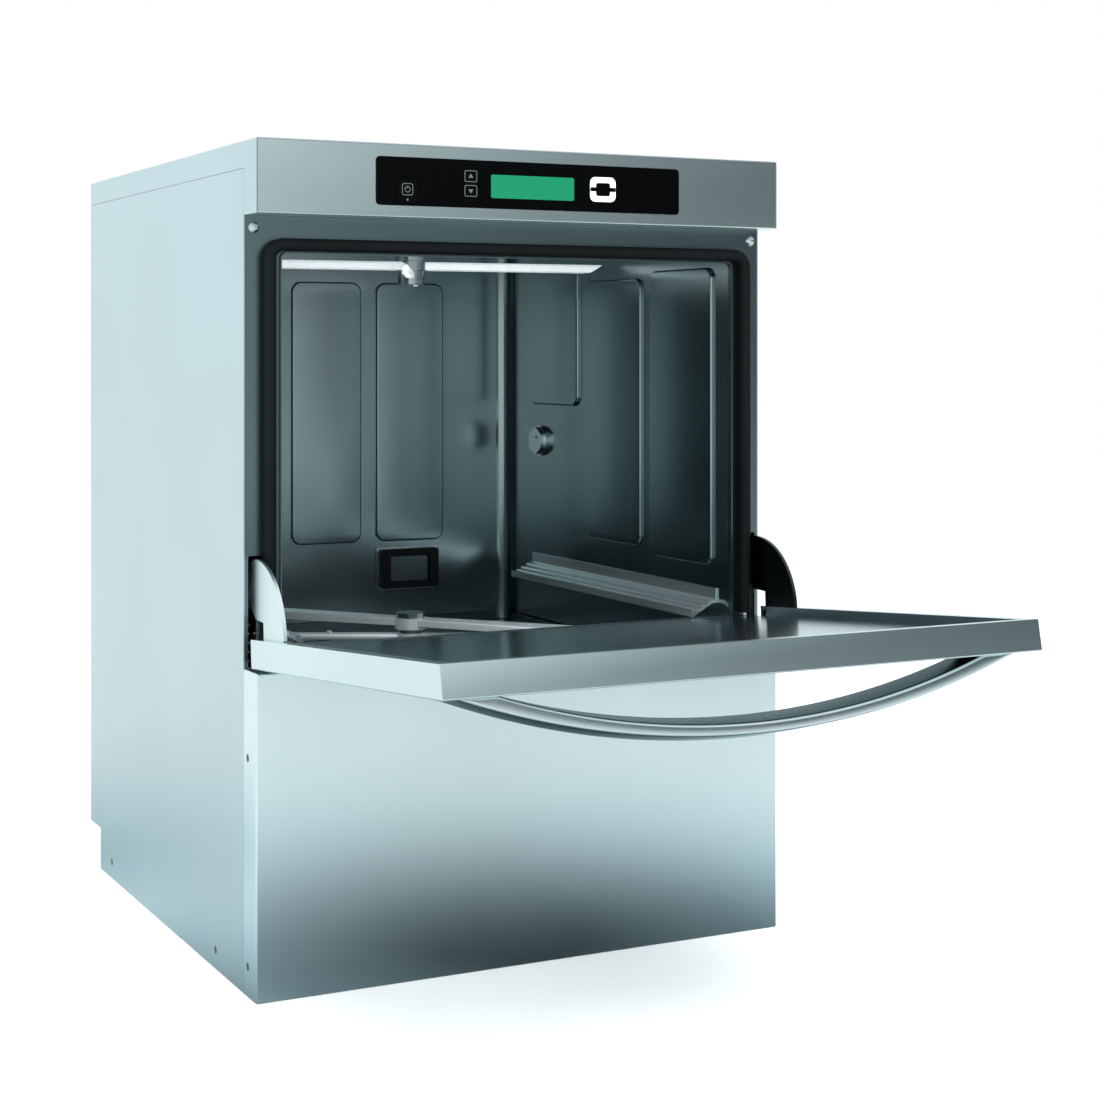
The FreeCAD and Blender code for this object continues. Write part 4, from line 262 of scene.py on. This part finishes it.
MATERIALS = {
    "panel_side": steel("panel_side", (0.64, 0.75, 0.78), 0.42, grain_axis=2, grain=0.006, gloss_range=0.04),
    "panel_front": steel("panel_front", (0.79, 0.92, 0.95), 0.30, grain_axis=2, grain=0.004,
                         gloss_range=0.04),
    "panel_fascia": steel("panel_fascia", (0.76, 0.87, 0.88), 0.24, grain_axis=0, grain=0.006,
                          gloss_range=0.05),
    "door_skin": steel("door_skin", (0.72, 0.84, 0.86), 0.26, grain_axis=0, grain=0.006, gloss_range=0.03),
    "door_liner": steel("door_liner", (0.46, 0.56, 0.58), 0.18, grain_axis=0, grain=0.006, gloss_range=0.05),
    "chamber": steel("chamber", (0.30, 0.37, 0.38), 0.20, grain_axis=2, grain=0.004, variation=0.07,
                     gloss_range=0.03),
    "surround": steel("surround", (0.17, 0.23, 0.24), 0.30, grain_axis=2, grain=0.004, gloss_range=0.04),
    "satin": steel("satin", (0.62, 0.69, 0.70), 0.28, grain_axis=1, grain=0.01),
    "tray": steel("tray", (0.14, 0.18, 0.19), 0.30, grain_axis=1, grain=0.01),
    # white steel of the upper arms, which glows: a painted highlight, not a lamp
    "painted_glow_steel": steel("painted_glow_steel", (0.90, 0.96, 0.97), 0.30, grain_axis=1, grain=0.01, metallic=0.0, painted_glow=0.42),
    "rail": steel("rail", (0.86, 0.94, 0.95), 0.22, grain_axis=1, grain=0.004, metallic=0.92,
                  gloss_range=0.04),
    # steel of the lower arms, which glows faintly: a painted highlight
    "arm": steel("arm", (0.74, 0.82, 0.83), 0.30, grain_axis=1, grain=0.006, metallic=0.65, painted_glow=0.04),
    "handle": steel("handle", (0.63, 0.73, 0.75), 0.22, grain_axis=0, grain=0.004, gloss_range=0.04),
    # dark copy of the handle's steel for the bow's inside: painted shade
    "handle_painted_shade": steel("handle_painted_shade", (0.05, 0.08, 0.085), 0.25, grain_axis=0, grain=0.004),
    "hinge": steel("hinge", (0.78, 0.90, 0.92), 0.34, grain_axis=1, grain=0.006),
    # near-black copy of the hinge steel for the right arm, which stands in shadow: painted shade
    "hinge_painted_shade": steel("hinge_painted_shade", (0.05, 0.06, 0.062), 0.25, grain_axis=1, grain=0.01),
    "dull": steel("dull", (0.55, 0.59, 0.60), 0.45, grain_axis=0, variation=0.10),
    "screw": steel("screw", (0.16, 0.18, 0.19), 0.40, grain_axis=1),
    "seal": plastic("seal", (0.003, 0.0045, 0.005), 0.65, 700.0, 0.12, shine=0.15),
    "overlay": plastic("overlay", (0.0010, 0.0012, 0.0014), 0.25, 1500.0, 0.01, shine=0.04),
    "key_film": plastic("key_film", (0.0014, 0.0017, 0.0018), 0.32, 1500.0, 0.01, shine=0.04),
    "white": plastic("white", (0.86, 0.88, 0.88), 0.35, 900.0, 0.03),
    "icon": plastic("icon", (0.085, 0.10, 0.10), 0.45, 900.0, 0.02, shine=0.1),
    "green": glowing("green", (0.009, 0.300, 0.140), 0.95, 0.22),
    "board": plastic("board", (0.02, 0.12, 0.05), 0.5, 500.0, 0.10),
    "black_plastic": plastic("black_plastic", (0.004, 0.006, 0.0065), 0.45, 800.0, 0.10, shine=0.15),
    "grey_plastic": plastic("grey_plastic", (0.22, 0.24, 0.24), 0.45, 800.0, 0.08),
    "light_plastic": plastic("light_plastic", (0.42, 0.45, 0.45), 0.42, 800.0, 0.08),
    "paint": plastic("paint", (0.04, 0.05, 0.06), 0.40, 500.0, 0.10),
    "hose": plastic("hose", (0.02, 0.021, 0.022), 0.55, 600.0, 0.15),
    "brass": steel("brass", (0.70, 0.50, 0.20), 0.32, grain_axis=1),
}

# finish of every node that keeps its own shape
NODE_FINISH = {
    "side_panel_left": "panel_side", "side_panel_right": "panel_side", "top_cover": "panel_side",
    "lower_front_panel": "panel_front", "control_fascia": "panel_fascia", "door_outer_skin": "door_skin",
    "door_inner_liner": "door_liner", "back_panel": "dull", "service_recess_plate": "dull",
    "base_frame": "dull", "tub_left_wall": "chamber", "tub_right_wall": "chamber",
    "tub_back_wall": "chamber", "tub_ceiling": "chamber", "wash_tank": "chamber",
    "door_surround_frame": "surround", "filter_tray": "tray", "overflow_hood_plate": "tray",
    # the upper and lower arms' finishes carry a painted glow
    "rack_rails": "rail", "upper_wash_arm": "painted_glow_steel", "upper_rinse_arm": "painted_glow_steel",
    "lower_wash_arm": "arm", "lower_rinse_arm": "arm", "upper_spindle": "satin",
    # the right hinge arm takes the painted-shade copy of the hinge steel
    "lower_spindle": "satin", "hinge_arm_left": "hinge", "hinge_arm_right": "hinge_painted_shade",
    "hinge_brackets": "satin", "hinge_pins": "satin", "cover_screws": "screw",
    "door_gasket": "seal", "control_overlay": "overlay", "power_button": "key_film",
    "select_up_button": "key_film", "select_down_button": "key_film", "display_module": "green",
    "start_button": "white", "control_board": "board", "overflow_hood_frame": "black_plastic",
    "wall_fitting": "satin", "overflow_standpipe": "grey_plastic", "tank_heater": "satin",
    "wash_pump_motor": "paint", "wash_pump_volute": "black_plastic", "pump_impeller": "black_plastic",
    "drain_pump": "black_plastic", "wash_pipes": "hose", "rinse_boiler": "satin",
    "water_inlet_valve": "brass", "drain_spigot": "grey_plastic", "cable_gland": "grey_plastic",
    "dosing_pump": "grey_plastic", "dosing_rotor": "light_plastic", "electrical_box": "grey_plastic",
    "foot_front_left": "black_plastic", "foot_front_right": "black_plastic",
    "foot_back_left": "black_plastic", "foot_back_right": "black_plastic",
}
SURROUND_BOLTS_ABOVE = 0.70      # height above which the cover screws are the two bright bolts
HUB_REACH = 0.020                # radius within which the upper arms are plain steel hubs
SMOOTH_ANGLE = math.radians(32)  # sharper edges than this stay sharp
WELD_DISTANCE = 2e-6


def finish_nodes():
    """Give each kept node its material and smooth its curved faces."""
    for name, finish in NODE_FINISH.items():
        node = NODES[name]
        node.data.materials.clear()
        node.data.materials.append(MATERIALS[finish])
        for polygon in node.data.polygons:
            polygon.material_index = 0
            polygon.use_smooth = True
        weld = node.modifiers.new("weld", "WELD")
        weld.merge_threshold = WELD_DISTANCE
        split = node.modifiers.new("split", "EDGE_SPLIT")
        split.split_angle = SMOOTH_ANGLE
    low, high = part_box("upper_spindle")
    centre = (low + high) / 2
    # the upper arms keep their painted glow except at their plain steel hubs
    for name in ("upper_wash_arm", "upper_rinse_arm"):
        arm = NODES[name].data
        arm.materials.append(MATERIALS["satin"])
        for polygon in arm.polygons:
            off_axis = (polygon.center - centre).xy.length
            polygon.material_index = int(off_axis < HUB_REACH)
    bolts = NODES["cover_screws"].data
    bolts.materials.append(MATERIALS["satin"])
    for polygon in bolts.polygons:
        polygon.material_index = int(polygon.center.z > SURROUND_BOLTS_ABOVE)


# ---------------------------------------------------------------- door handle
HANDLE_STATIONS = 120
CORNER_STEPS = 7
CORNER_SHARE = 0.46              # most of an edge that one of its corners takes
NO_LENGTH = 1e-6
THINNEST = 0.9 * MM
# section's corners with the door closed: height from the lower rim to the upper one, half width of
# the arc and reach of the arc as shares of the CAD bow's, and how far the corner is rounded
UPPER_INNER = (1.00, 0.835, 0.71, 0.0034)
UPPER_OUTER = (1.00, 0.962, 0.88, 0.0022)
LOWER_OUTER = (0.02, 1.000, 1.00, 0.0060)
LOWER_INNER = (0.00, 0.819, 0.64, 0.0050)
# points of a section's ring that lie on the bow's inside, which get the painted shade
HALF_BEND = CORNER_STEPS // 2
PAINTED_SHADE_POINTS = (*range(HALF_BEND), *range(3 * CORNER_STEPS + HALF_BEND, 4 * CORNER_STEPS))


def arc_reach(x, half, reach):
    """How far an arc over the half width stands out at x."""
    if abs(x) >= half:
        return 0.0
    radius = (half * half + reach * reach) / (2 * reach)
    return math.sqrt(radius * radius - x * x) - (radius - reach)


def rounded_corner(before, corner, after, reach):
    """Points of a soft bend from one edge into the next."""
    back, on = before - corner, after - corner
    start = corner + back * min(reach / max(back.length, NO_LENGTH), CORNER_SHARE)
    end = corner + on * min(reach / max(on.length, NO_LENGTH), CORNER_SHARE)
    points = []
    for step in range(CORNER_STEPS):
        t = step / (CORNER_STEPS - 1)
        points.append(start * (1 - t) ** 2 + corner * 2 * t * (1 - t) + end * t * t)
    return points


def make_handle():
    """Smooth bow that flares towards its lower rim and runs out into the door's face."""
    low, high = closed_box("door_handle")
    face = closed_box("door_outer_skin")[0].y
    half = high.x
    reach = face - low.y
    points = []
    for station in range(HANDLE_STATIONS):
        x = -math.cos(math.pi * station / (HANDLE_STATIONS - 1)) * half
        corners = []
        for share, half_share, reach_share, _ in (UPPER_INNER, UPPER_OUTER, LOWER_OUTER, LOWER_INNER):
            out = arc_reach(x, half * half_share, reach * reach_share)
            corners.append(Vector((0.0, face - out, low.z + (high.z - low.z) * share)))
        corners[1].y = min(corners[1].y, corners[0].y - THINNEST)
        corners[2].y = min(corners[2].y, corners[3].y - THINNEST)
        for index, shape in enumerate((UPPER_INNER, UPPER_OUTER, LOWER_OUTER, LOWER_INNER)):
            bend = rounded_corner(corners[index - 1], corners[index], corners[(index + 1) % 4], shape[3])
            points += [DOOR_TO_REST @ (point + Vector((x, 0, 0))) for point in bend]
    ring = 4 * CORNER_STEPS
    handle = add_piece("bow_handle", points, ring_faces(HANDLE_STATIONS, ring), MATERIALS["handle"], "door",
                       smooth=True)
    # the bow's inside gets the dark copy of its steel: painted shade
    handle.data.materials.append(MATERIALS["handle_painted_shade"])
    for polygon in handle.data.polygons:
        polygon.material_index = int(all(index % ring in PAINTED_SHADE_POINTS for index in polygon.vertices))
    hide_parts("door_handle")


# ---------------------------------------------------------------- door springs
SPRING_WIRE = 1.1 * MM           # radius of the wire
SPRING_PITCH = 9.0 * MM
SPRING_STEPS = 20                # points along each turn
WIRE_SIDES = 8
HOOK_RISE = 21.5 * MM            # from the top of the CAD spring to the top of the hook
HOOK_RADIUS = 3.2 * MM
HOOK_STEPS = 8
SHANK_STEPS = 4                  # points from the last turn to the foot of the hook


def tube_points(path, radius, sides):
    """Rings of points round a path, with no twist between them."""
    points = []
    normal = None
    for index, place in enumerate(path):
        along = (path[min(index + 1, len(path) - 1)] - path[max(index - 1, 0)]).normalized()
        if normal is None:
            normal = along.orthogonal()
        normal = (normal - along * normal.dot(along)).normalized()
        across = along.cross(normal)
        for side in range(sides):
            angle = 2 * math.pi * side / sides
            points.append(place + (normal * math.cos(angle) + across * math.sin(angle)) * radius)
    return points


def spring_path():
    """Centre line of the right spring: its turns, the rise to the tail, and the hook through it."""
    low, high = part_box("door_springs")
    arm_low, arm_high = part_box("hinge_arm_right")
    axis_x = (arm_low.x + arm_high.x) / 2
    axis_y = (low.y + high.y) / 2
    radius = high.x - SPRING_WIRE - axis_x
    start = low.z + SPRING_WIRE
    length = high.z - SPRING_WIRE - start
    count = round(length / SPRING_PITCH * SPRING_STEPS)
    path = []
    for step in range(count + 1):
        angle = 2 * math.pi * step / SPRING_STEPS
        path.append(Vector((axis_x + radius * math.cos(angle), axis_y + radius * math.sin(angle),
                            start + length * step / count)))
    hook_centre = high.z + HOOK_RISE - HOOK_RADIUS
    foot = path[-1]
    hook_foot = Vector((axis_x + HOOK_RADIUS, axis_y, hook_centre))
    for step in range(1, SHANK_STEPS + 1):
        path.append(foot.lerp(hook_foot, step / SHANK_STEPS))
    for step in range(1, HOOK_STEPS + 1):
        angle = math.pi * step / HOOK_STEPS
        path.append(Vector((axis_x + HOOK_RADIUS * math.cos(angle), axis_y,
                            hook_centre + HOOK_RADIUS * math.sin(angle))))
    path.append(path[-1] - Vector((0, 0, 2 * HOOK_RADIUS)))
    return path


def make_door_springs():
    """The two counterbalance springs, fixed to the cabinet as they stand with the door open."""
    path = spring_path()
    one = tube_points(path, SPRING_WIRE, WIRE_SIDES)
    faces = ring_faces(len(path), WIRE_SIDES)
    other_faces = [tuple(index + len(one) for index in face) for face in faces]
    other = [Vector((-point.x, point.y, point.z)) for point in one]
    springs = add_piece("counterbalance_springs", one + other, faces + other_faces, MATERIALS["satin"],
                        "cabinet", smooth=True)
    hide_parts("door_springs")
    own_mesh(springs)


# ---------------------------------------------------------------- symbols on the controls
INK = 0.12 * MM                  # thickness of printed symbols
LINE = 0.7 * MM                  # width of printed lines
LINE_CORNER = 0.8                # share of the line's width that its inner corner is smaller by
# printed outlines: half width, half height and corner
POWER_FRAME = (6.0 * MM, 6.0 * MM, 2.2 * MM)
SELECT_FRAME = (7.0 * MM, 5.8 * MM, 1.6 * MM)
POWER_RISE = 1.5 * MM            # middle of the power sign above the middle of its key
POWER_RING = (3.2 * MM, 2.5 * MM)
POWER_BAR = (0.4 * MM, 1.6 * MM)
POWER_BAR_RISE = 3.6 * MM
POWER_LAMP = 1.1 * MM
POWER_LAMP_STEPS = 20
POWER_LAMP_DROP = 9.0 * MM
ARROW_TIP = 2.6 * MM
ARROW_FOOT = (2.8 * MM, 1.6 * MM)
# start button's black plate and side slits, as shares of the button's half width
START_PLATE = (0.56, 0.46)
START_PLATE_CORNER = 2.4 * MM
START_SLIT = 0.25
START_SLIT_HALF_HEIGHT = 2.2 * MM
START_SLIT_PLACE = 0.74


def face_centre(node):
    """Middle of the front of a node."""
    low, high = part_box(node)
    return Vector(((low.x + high.x) / 2, low.y, (low.z + high.z) / 2))


def box_outline(half_width, half_height):
    """Corners of a rectangle centred on (0, 0)."""
    return [(half_width, half_height), (-half_width, half_height), (-half_width, -half_height),
            (half_width, -half_height)]


def moved(outline, dx, dz):
    """The outline shifted sideways and up."""
    return [(x + dx, z + dz) for x, z in outline]


def print_symbol(name, outline, node, material="icon"):
    """Flat printed shape on the front of a button, which moves with it."""
    plate = front_plate(name, outline, face_centre(node), INK, MATERIALS[material], node)


def print_frame(name, outer, inner, node, rise=0.0):
    """Printed closed line on the front of a button, which moves with it."""
    line = front_frame(name, moved(outer, 0, rise), moved(inner, 0, rise), face_centre(node), INK,
                       MATERIALS["icon"], node)


def print_box(name, size, node, rise=0.0):
    """Printed rounded outline on the front of a button."""
    half_width, half_height, corner = size
    inner = rounded_outline(half_width - LINE, half_height - LINE, corner - LINE * LINE_CORNER)
    print_frame(name, rounded_outline(*size), inner, node, rise)


def make_power_symbol():
    """Power sign in its outline, with a lamp below."""
    node = "power_button"
    print_box("power_outline", POWER_FRAME, node, POWER_RISE)
    print_frame("power_ring", *[circle_outline(radius) for radius in POWER_RING], node, POWER_RISE)
    print_symbol("power_bar", moved(box_outline(*POWER_BAR), 0, POWER_BAR_RISE), node)
    lamp = circle_outline(POWER_LAMP, POWER_LAMP_STEPS)
    print_symbol("power_lamp", moved(lamp, 0, -POWER_LAMP_DROP), node)


def make_select_symbols():
    """Arrow up and arrow down, each in its outline."""
    for node, sign in (("select_up_button", 1), ("select_down_button", -1)):
        print_box(node + "_outline", SELECT_FRAME, node)
        foot_x, foot_z = ARROW_FOOT
        arrow = [(0.0, sign * ARROW_TIP), (-foot_x, -sign * foot_z), (foot_x, -sign * foot_z)]
        print_symbol(node + "_arrow", arrow, node)


def make_start_symbol():
    """Black plate and side slits on the white start button."""
    node = "start_button"
    low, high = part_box(node)
    half = (high.x - low.x) / 2
    plate = rounded_outline(half * START_PLATE[0], half * START_PLATE[1], START_PLATE_CORNER)
    print_symbol("start_square", plate, node, "overlay")
    for name, side in (("start_slit_left", -1), ("start_slit_right", 1)):
        slit = box_outline(half * START_SLIT, START_SLIT_HALF_HEIGHT)
        print_symbol(name, moved(slit, side * half * START_SLIT_PLACE, 0), node, "overlay")


# ---------------------------------------------------------------- overflow hood
BEZEL_RIM = 1.8 * MM
BEZEL_DEPTH = 2.0 * MM
BEZEL_CORNER = 3.0 * MM


def make_hood_bezel():
    """Bright pressed rim on the back wall round the overflow hood."""
    low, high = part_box("overflow_hood_frame")
    half_width = (high.x - low.x) / 2
    half_height = (high.z - low.z) / 2
    centre = Vector(((low.x + high.x) / 2, high.y, (low.z + high.z) / 2))
    outer = rounded_outline(half_width + BEZEL_RIM, half_height + BEZEL_RIM, BEZEL_CORNER + BEZEL_RIM)
    inner = rounded_outline(half_width, half_height, BEZEL_CORNER)
    bezel = front_frame("hood_bezel", outer, inner, centre, BEZEL_DEPTH, MATERIALS["satin"], "cabinet")


# ---------------------------------------------------------------- floor, light and camera
FLOOR_SIZE = 14.0
FLOOR_COLOUR = (0.95, 0.955, 0.955, 1)
FLOOR_ROUGHNESS = 0.95
FLOOR_LIFT = 0.14                # light of the floor's own, which keeps its far side white
# painted shade in the steel's reflection of the floor, darkest near the machine: point, value there and its
# rise for each metre
FLOOR_REFLECTION_SHADE_SPOTS = (((0.02, -0.42, 0.0), 0.0, 0.49), ((-0.38, 0.35, 0.0), 0.22, 0.30),
                    ((5.5, -6.0, 0.0), 0.0, 0.14))
# painted colour of the floor in the steel's reflection against that value
FLOOR_REFLECTION_TONES = ((0.05, (0.01, 0.02, 0.025, 1)), (0.14, (0.13, 0.18, 0.20, 1)),
               (0.26, (0.53, 0.67, 0.71, 1)), (0.42, (0.95, 1.0, 1.0, 1)))


def reflection_shade_value(tree):
    """Distance from the nearest spot of painted reflection shade, each counted in its own scale."""
    coordinates = tree.nodes.new("ShaderNodeTexCoord")
    nearest = None
    for spot, start, slope in FLOOR_REFLECTION_SHADE_SPOTS:
        distance = tree.nodes.new("ShaderNodeVectorMath")
        distance.operation = "DISTANCE"
        distance.inputs[1].default_value = spot
        reach = tree.nodes.new("ShaderNodeMath")
        reach.operation = "MULTIPLY_ADD"
        reach.inputs[1].default_value = slope
        reach.inputs[2].default_value = start
        tree.links.new(coordinates.outputs["Object"], distance.inputs[0])
        tree.links.new(distance.outputs["Value"], reach.inputs[0])
        if nearest is None:
            nearest = reach
            continue
        smaller = tree.nodes.new("ShaderNodeMath")
        smaller.operation = "MINIMUM"
        tree.links.new(nearest.outputs["Value"], smaller.inputs[0])
        tree.links.new(reach.outputs["Value"], smaller.inputs[1])
        nearest = smaller
    return nearest.outputs["Value"]


def make_floor():
    """Plain pale floor, which the steel reflects with painted shade, darker close to the machine."""
    half = FLOOR_SIZE / 2
    corners = [(-half, -half, 0), (half, -half, 0), (half, half, 0), (-half, half, 0)]
    mesh = bpy.data.meshes.new("floor")
    mesh.from_pydata(corners, [], [(0, 1, 2, 3)])
    floor = bpy.data.objects.new("floor", mesh)
    bpy.context.scene.collection.objects.link(floor)
    material, tree, shader = new_material("pale_floor")
    shader.inputs["Base Color"].default_value = FLOOR_COLOUR
    shader.inputs["Roughness"].default_value = FLOOR_ROUGHNESS
    shader.inputs["Specular IOR Level"].default_value = 0.0
    shader.inputs["Emission Color"].default_value = (1, 1, 1, 1)
    shader.inputs["Emission Strength"].default_value = FLOOR_LIFT
    tones = tree.nodes.new("ShaderNodeValToRGB")
    for _ in FLOOR_REFLECTION_TONES[2:]:
        tones.color_ramp.elements.new(1.0)
    for element, (position, colour) in zip(tones.color_ramp.elements, FLOOR_REFLECTION_TONES):
        element.position = position
        element.color = colour
    seen = tree.nodes.new("ShaderNodeEmission")
    path = tree.nodes.new("ShaderNodeLightPath")
    mix = tree.nodes.new("ShaderNodeMixShader")
    output = tree.nodes["Material Output"]
    tree.links.new(reflection_shade_value(tree), tones.inputs["Fac"])
    tree.links.new(tones.outputs["Color"], seen.inputs["Color"])
    # glossy rays see the painted reflection shade instead of the lit floor
    tree.links.new(path.outputs["Is Glossy Ray"], mix.inputs["Fac"])
    tree.links.new(shader.outputs["BSDF"], mix.inputs[1])
    tree.links.new(seen.outputs["Emission"], mix.inputs[2])
    tree.links.new(mix.outputs["Shader"], output.inputs["Surface"])
    material.cycles.emission_sampling = "NONE"
    mesh.materials.append(material)


DARK_SIDE = (0.848, -0.530, -0.35)   # direction of the room's dark side
DARK_FROM = 0.63                 # where the room starts to darken towards that side, and where it is dark
DARK_FULL = 0.89
TOP_FROM = 0.35                  # height at which the room starts to turn into its bright top, and is it
TOP_FULL = 0.75
ROOM_LIGHT = (0.88, 0.98, 1.0, 1)
ROOM_DARK = (0.035, 0.05, 0.052, 1)
ROOM_TOP = (1.0, 1.04, 1.05, 1)


def make_world():
    """Soft white room, darker towards the front right, seen by the camera as plain white."""
    world = bpy.data.worlds.new("studio")
    bpy.context.scene.world = world
    world.use_nodes = True
    tree = world.node_tree
    tree.nodes.clear()
    output = tree.nodes.new("ShaderNodeOutputWorld")
    seen = tree.nodes.new("ShaderNodeBackground")
    seen.inputs["Color"].default_value = (1, 1, 1, 1)
    lit = tree.nodes.new("ShaderNodeBackground")
    mix = tree.nodes.new("ShaderNodeMixShader")
    path = tree.nodes.new("ShaderNodeLightPath")
    coordinates = tree.nodes.new("ShaderNodeTexCoord")
    dot = tree.nodes.new("ShaderNodeVectorMath")
    dot.operation = "DOT_PRODUCT"
    dot.inputs[1].default_value = DARK_SIDE
    ramp = tree.nodes.new("ShaderNodeValToRGB")
    ramp.color_ramp.interpolation = "EASE"
    ramp.color_ramp.elements[0].position = DARK_FROM
    ramp.color_ramp.elements[0].color = ROOM_LIGHT
    ramp.color_ramp.elements[1].position = DARK_FULL
    ramp.color_ramp.elements[1].color = ROOM_DARK
    split = tree.nodes.new("ShaderNodeSeparateXYZ")
    height = tree.nodes.new("ShaderNodeMapRange")
    height.interpolation_type = "SMOOTHSTEP"
    height.inputs["From Min"].default_value = TOP_FROM
    height.inputs["From Max"].default_value = TOP_FULL
    top = tree.nodes.new("ShaderNodeMix")
    top.data_type = "RGBA"
    top.inputs["B"].default_value = ROOM_TOP
    tree.links.new(coordinates.outputs["Generated"], dot.inputs[0])
    tree.links.new(coordinates.outputs["Generated"], split.inputs["Vector"])
    tree.links.new(split.outputs["Z"], height.inputs["Value"])
    tree.links.new(dot.outputs["Value"], ramp.inputs["Fac"])
    tree.links.new(height.outputs["Result"], top.inputs["Factor"])
    tree.links.new(ramp.outputs["Color"], top.inputs["A"])
    tree.links.new(top.outputs["Result"], lit.inputs["Color"])
    tree.links.new(path.outputs["Is Camera Ray"], mix.inputs["Fac"])
    tree.links.new(lit.outputs["Background"], mix.inputs[1])
    tree.links.new(seen.outputs["Background"], mix.inputs[2])
    tree.links.new(mix.outputs["Shader"], output.inputs["Surface"])


# soft boxes: name, place, the point each is aimed at, side and power
SOFT_BOXES = (
    ("key", (-2.8, -2.4, 2.4), (0.0, 0.0, 0.4), 2.0, 60.0),
    ("top", (0.5, -2.0, 3.4), (0.4, -1.8, 0.0), 3.0, 170.0),
    ("fill", (-1.0, -2.5, 0.9), (0.0, 0.0, 0.6), 0.8, 22.0),
)


def make_lights():
    """Key from the upper left front, wide box above, low fill; none has an image of itself in the steel."""
    for name, place, target, size, power in SOFT_BOXES:
        light = bpy.data.lights.new(name, "AREA")
        light.energy = power
        light.size = size
        lamp = bpy.data.objects.new(name, light)
        lamp.location = place
        lamp.rotation_euler = (Vector(target) - Vector(place)).to_track_quat("-Z", "Y").to_euler()
        lamp.visible_glossy = False
        bpy.context.scene.collection.objects.link(lamp)


CAMERA_PLACE = (-0.9484, -2.1215, 0.6308)
CAMERA_TURN = math.radians(25.73)
FOCAL_LENGTH = 65.35
SENSOR_WIDTH = 36.0
CAMERA_SHIFT = (0.0729, -0.1827)


def make_camera():
    """Level camera at the front left, at the height of the washing chamber."""
    camera = bpy.data.objects.new("camera", bpy.data.cameras.new("camera"))
    camera.data.sensor_width = SENSOR_WIDTH
    camera.data.lens = FOCAL_LENGTH
    camera.data.shift_x, camera.data.shift_y = CAMERA_SHIFT
    camera.location = CAMERA_PLACE
    camera.rotation_euler = (math.pi / 2, 0.0, -CAMERA_TURN)
    bpy.context.scene.collection.objects.link(camera)
    bpy.context.scene.camera = camera


make_camera()
make_world()
make_lights()
make_floor()
finish_nodes()
make_handle()
make_door_springs()
make_hood_bezel()
make_power_symbol()
make_select_symbols()
make_start_symbol()
bpy.context.scene.view_settings.view_transform = "Standard"
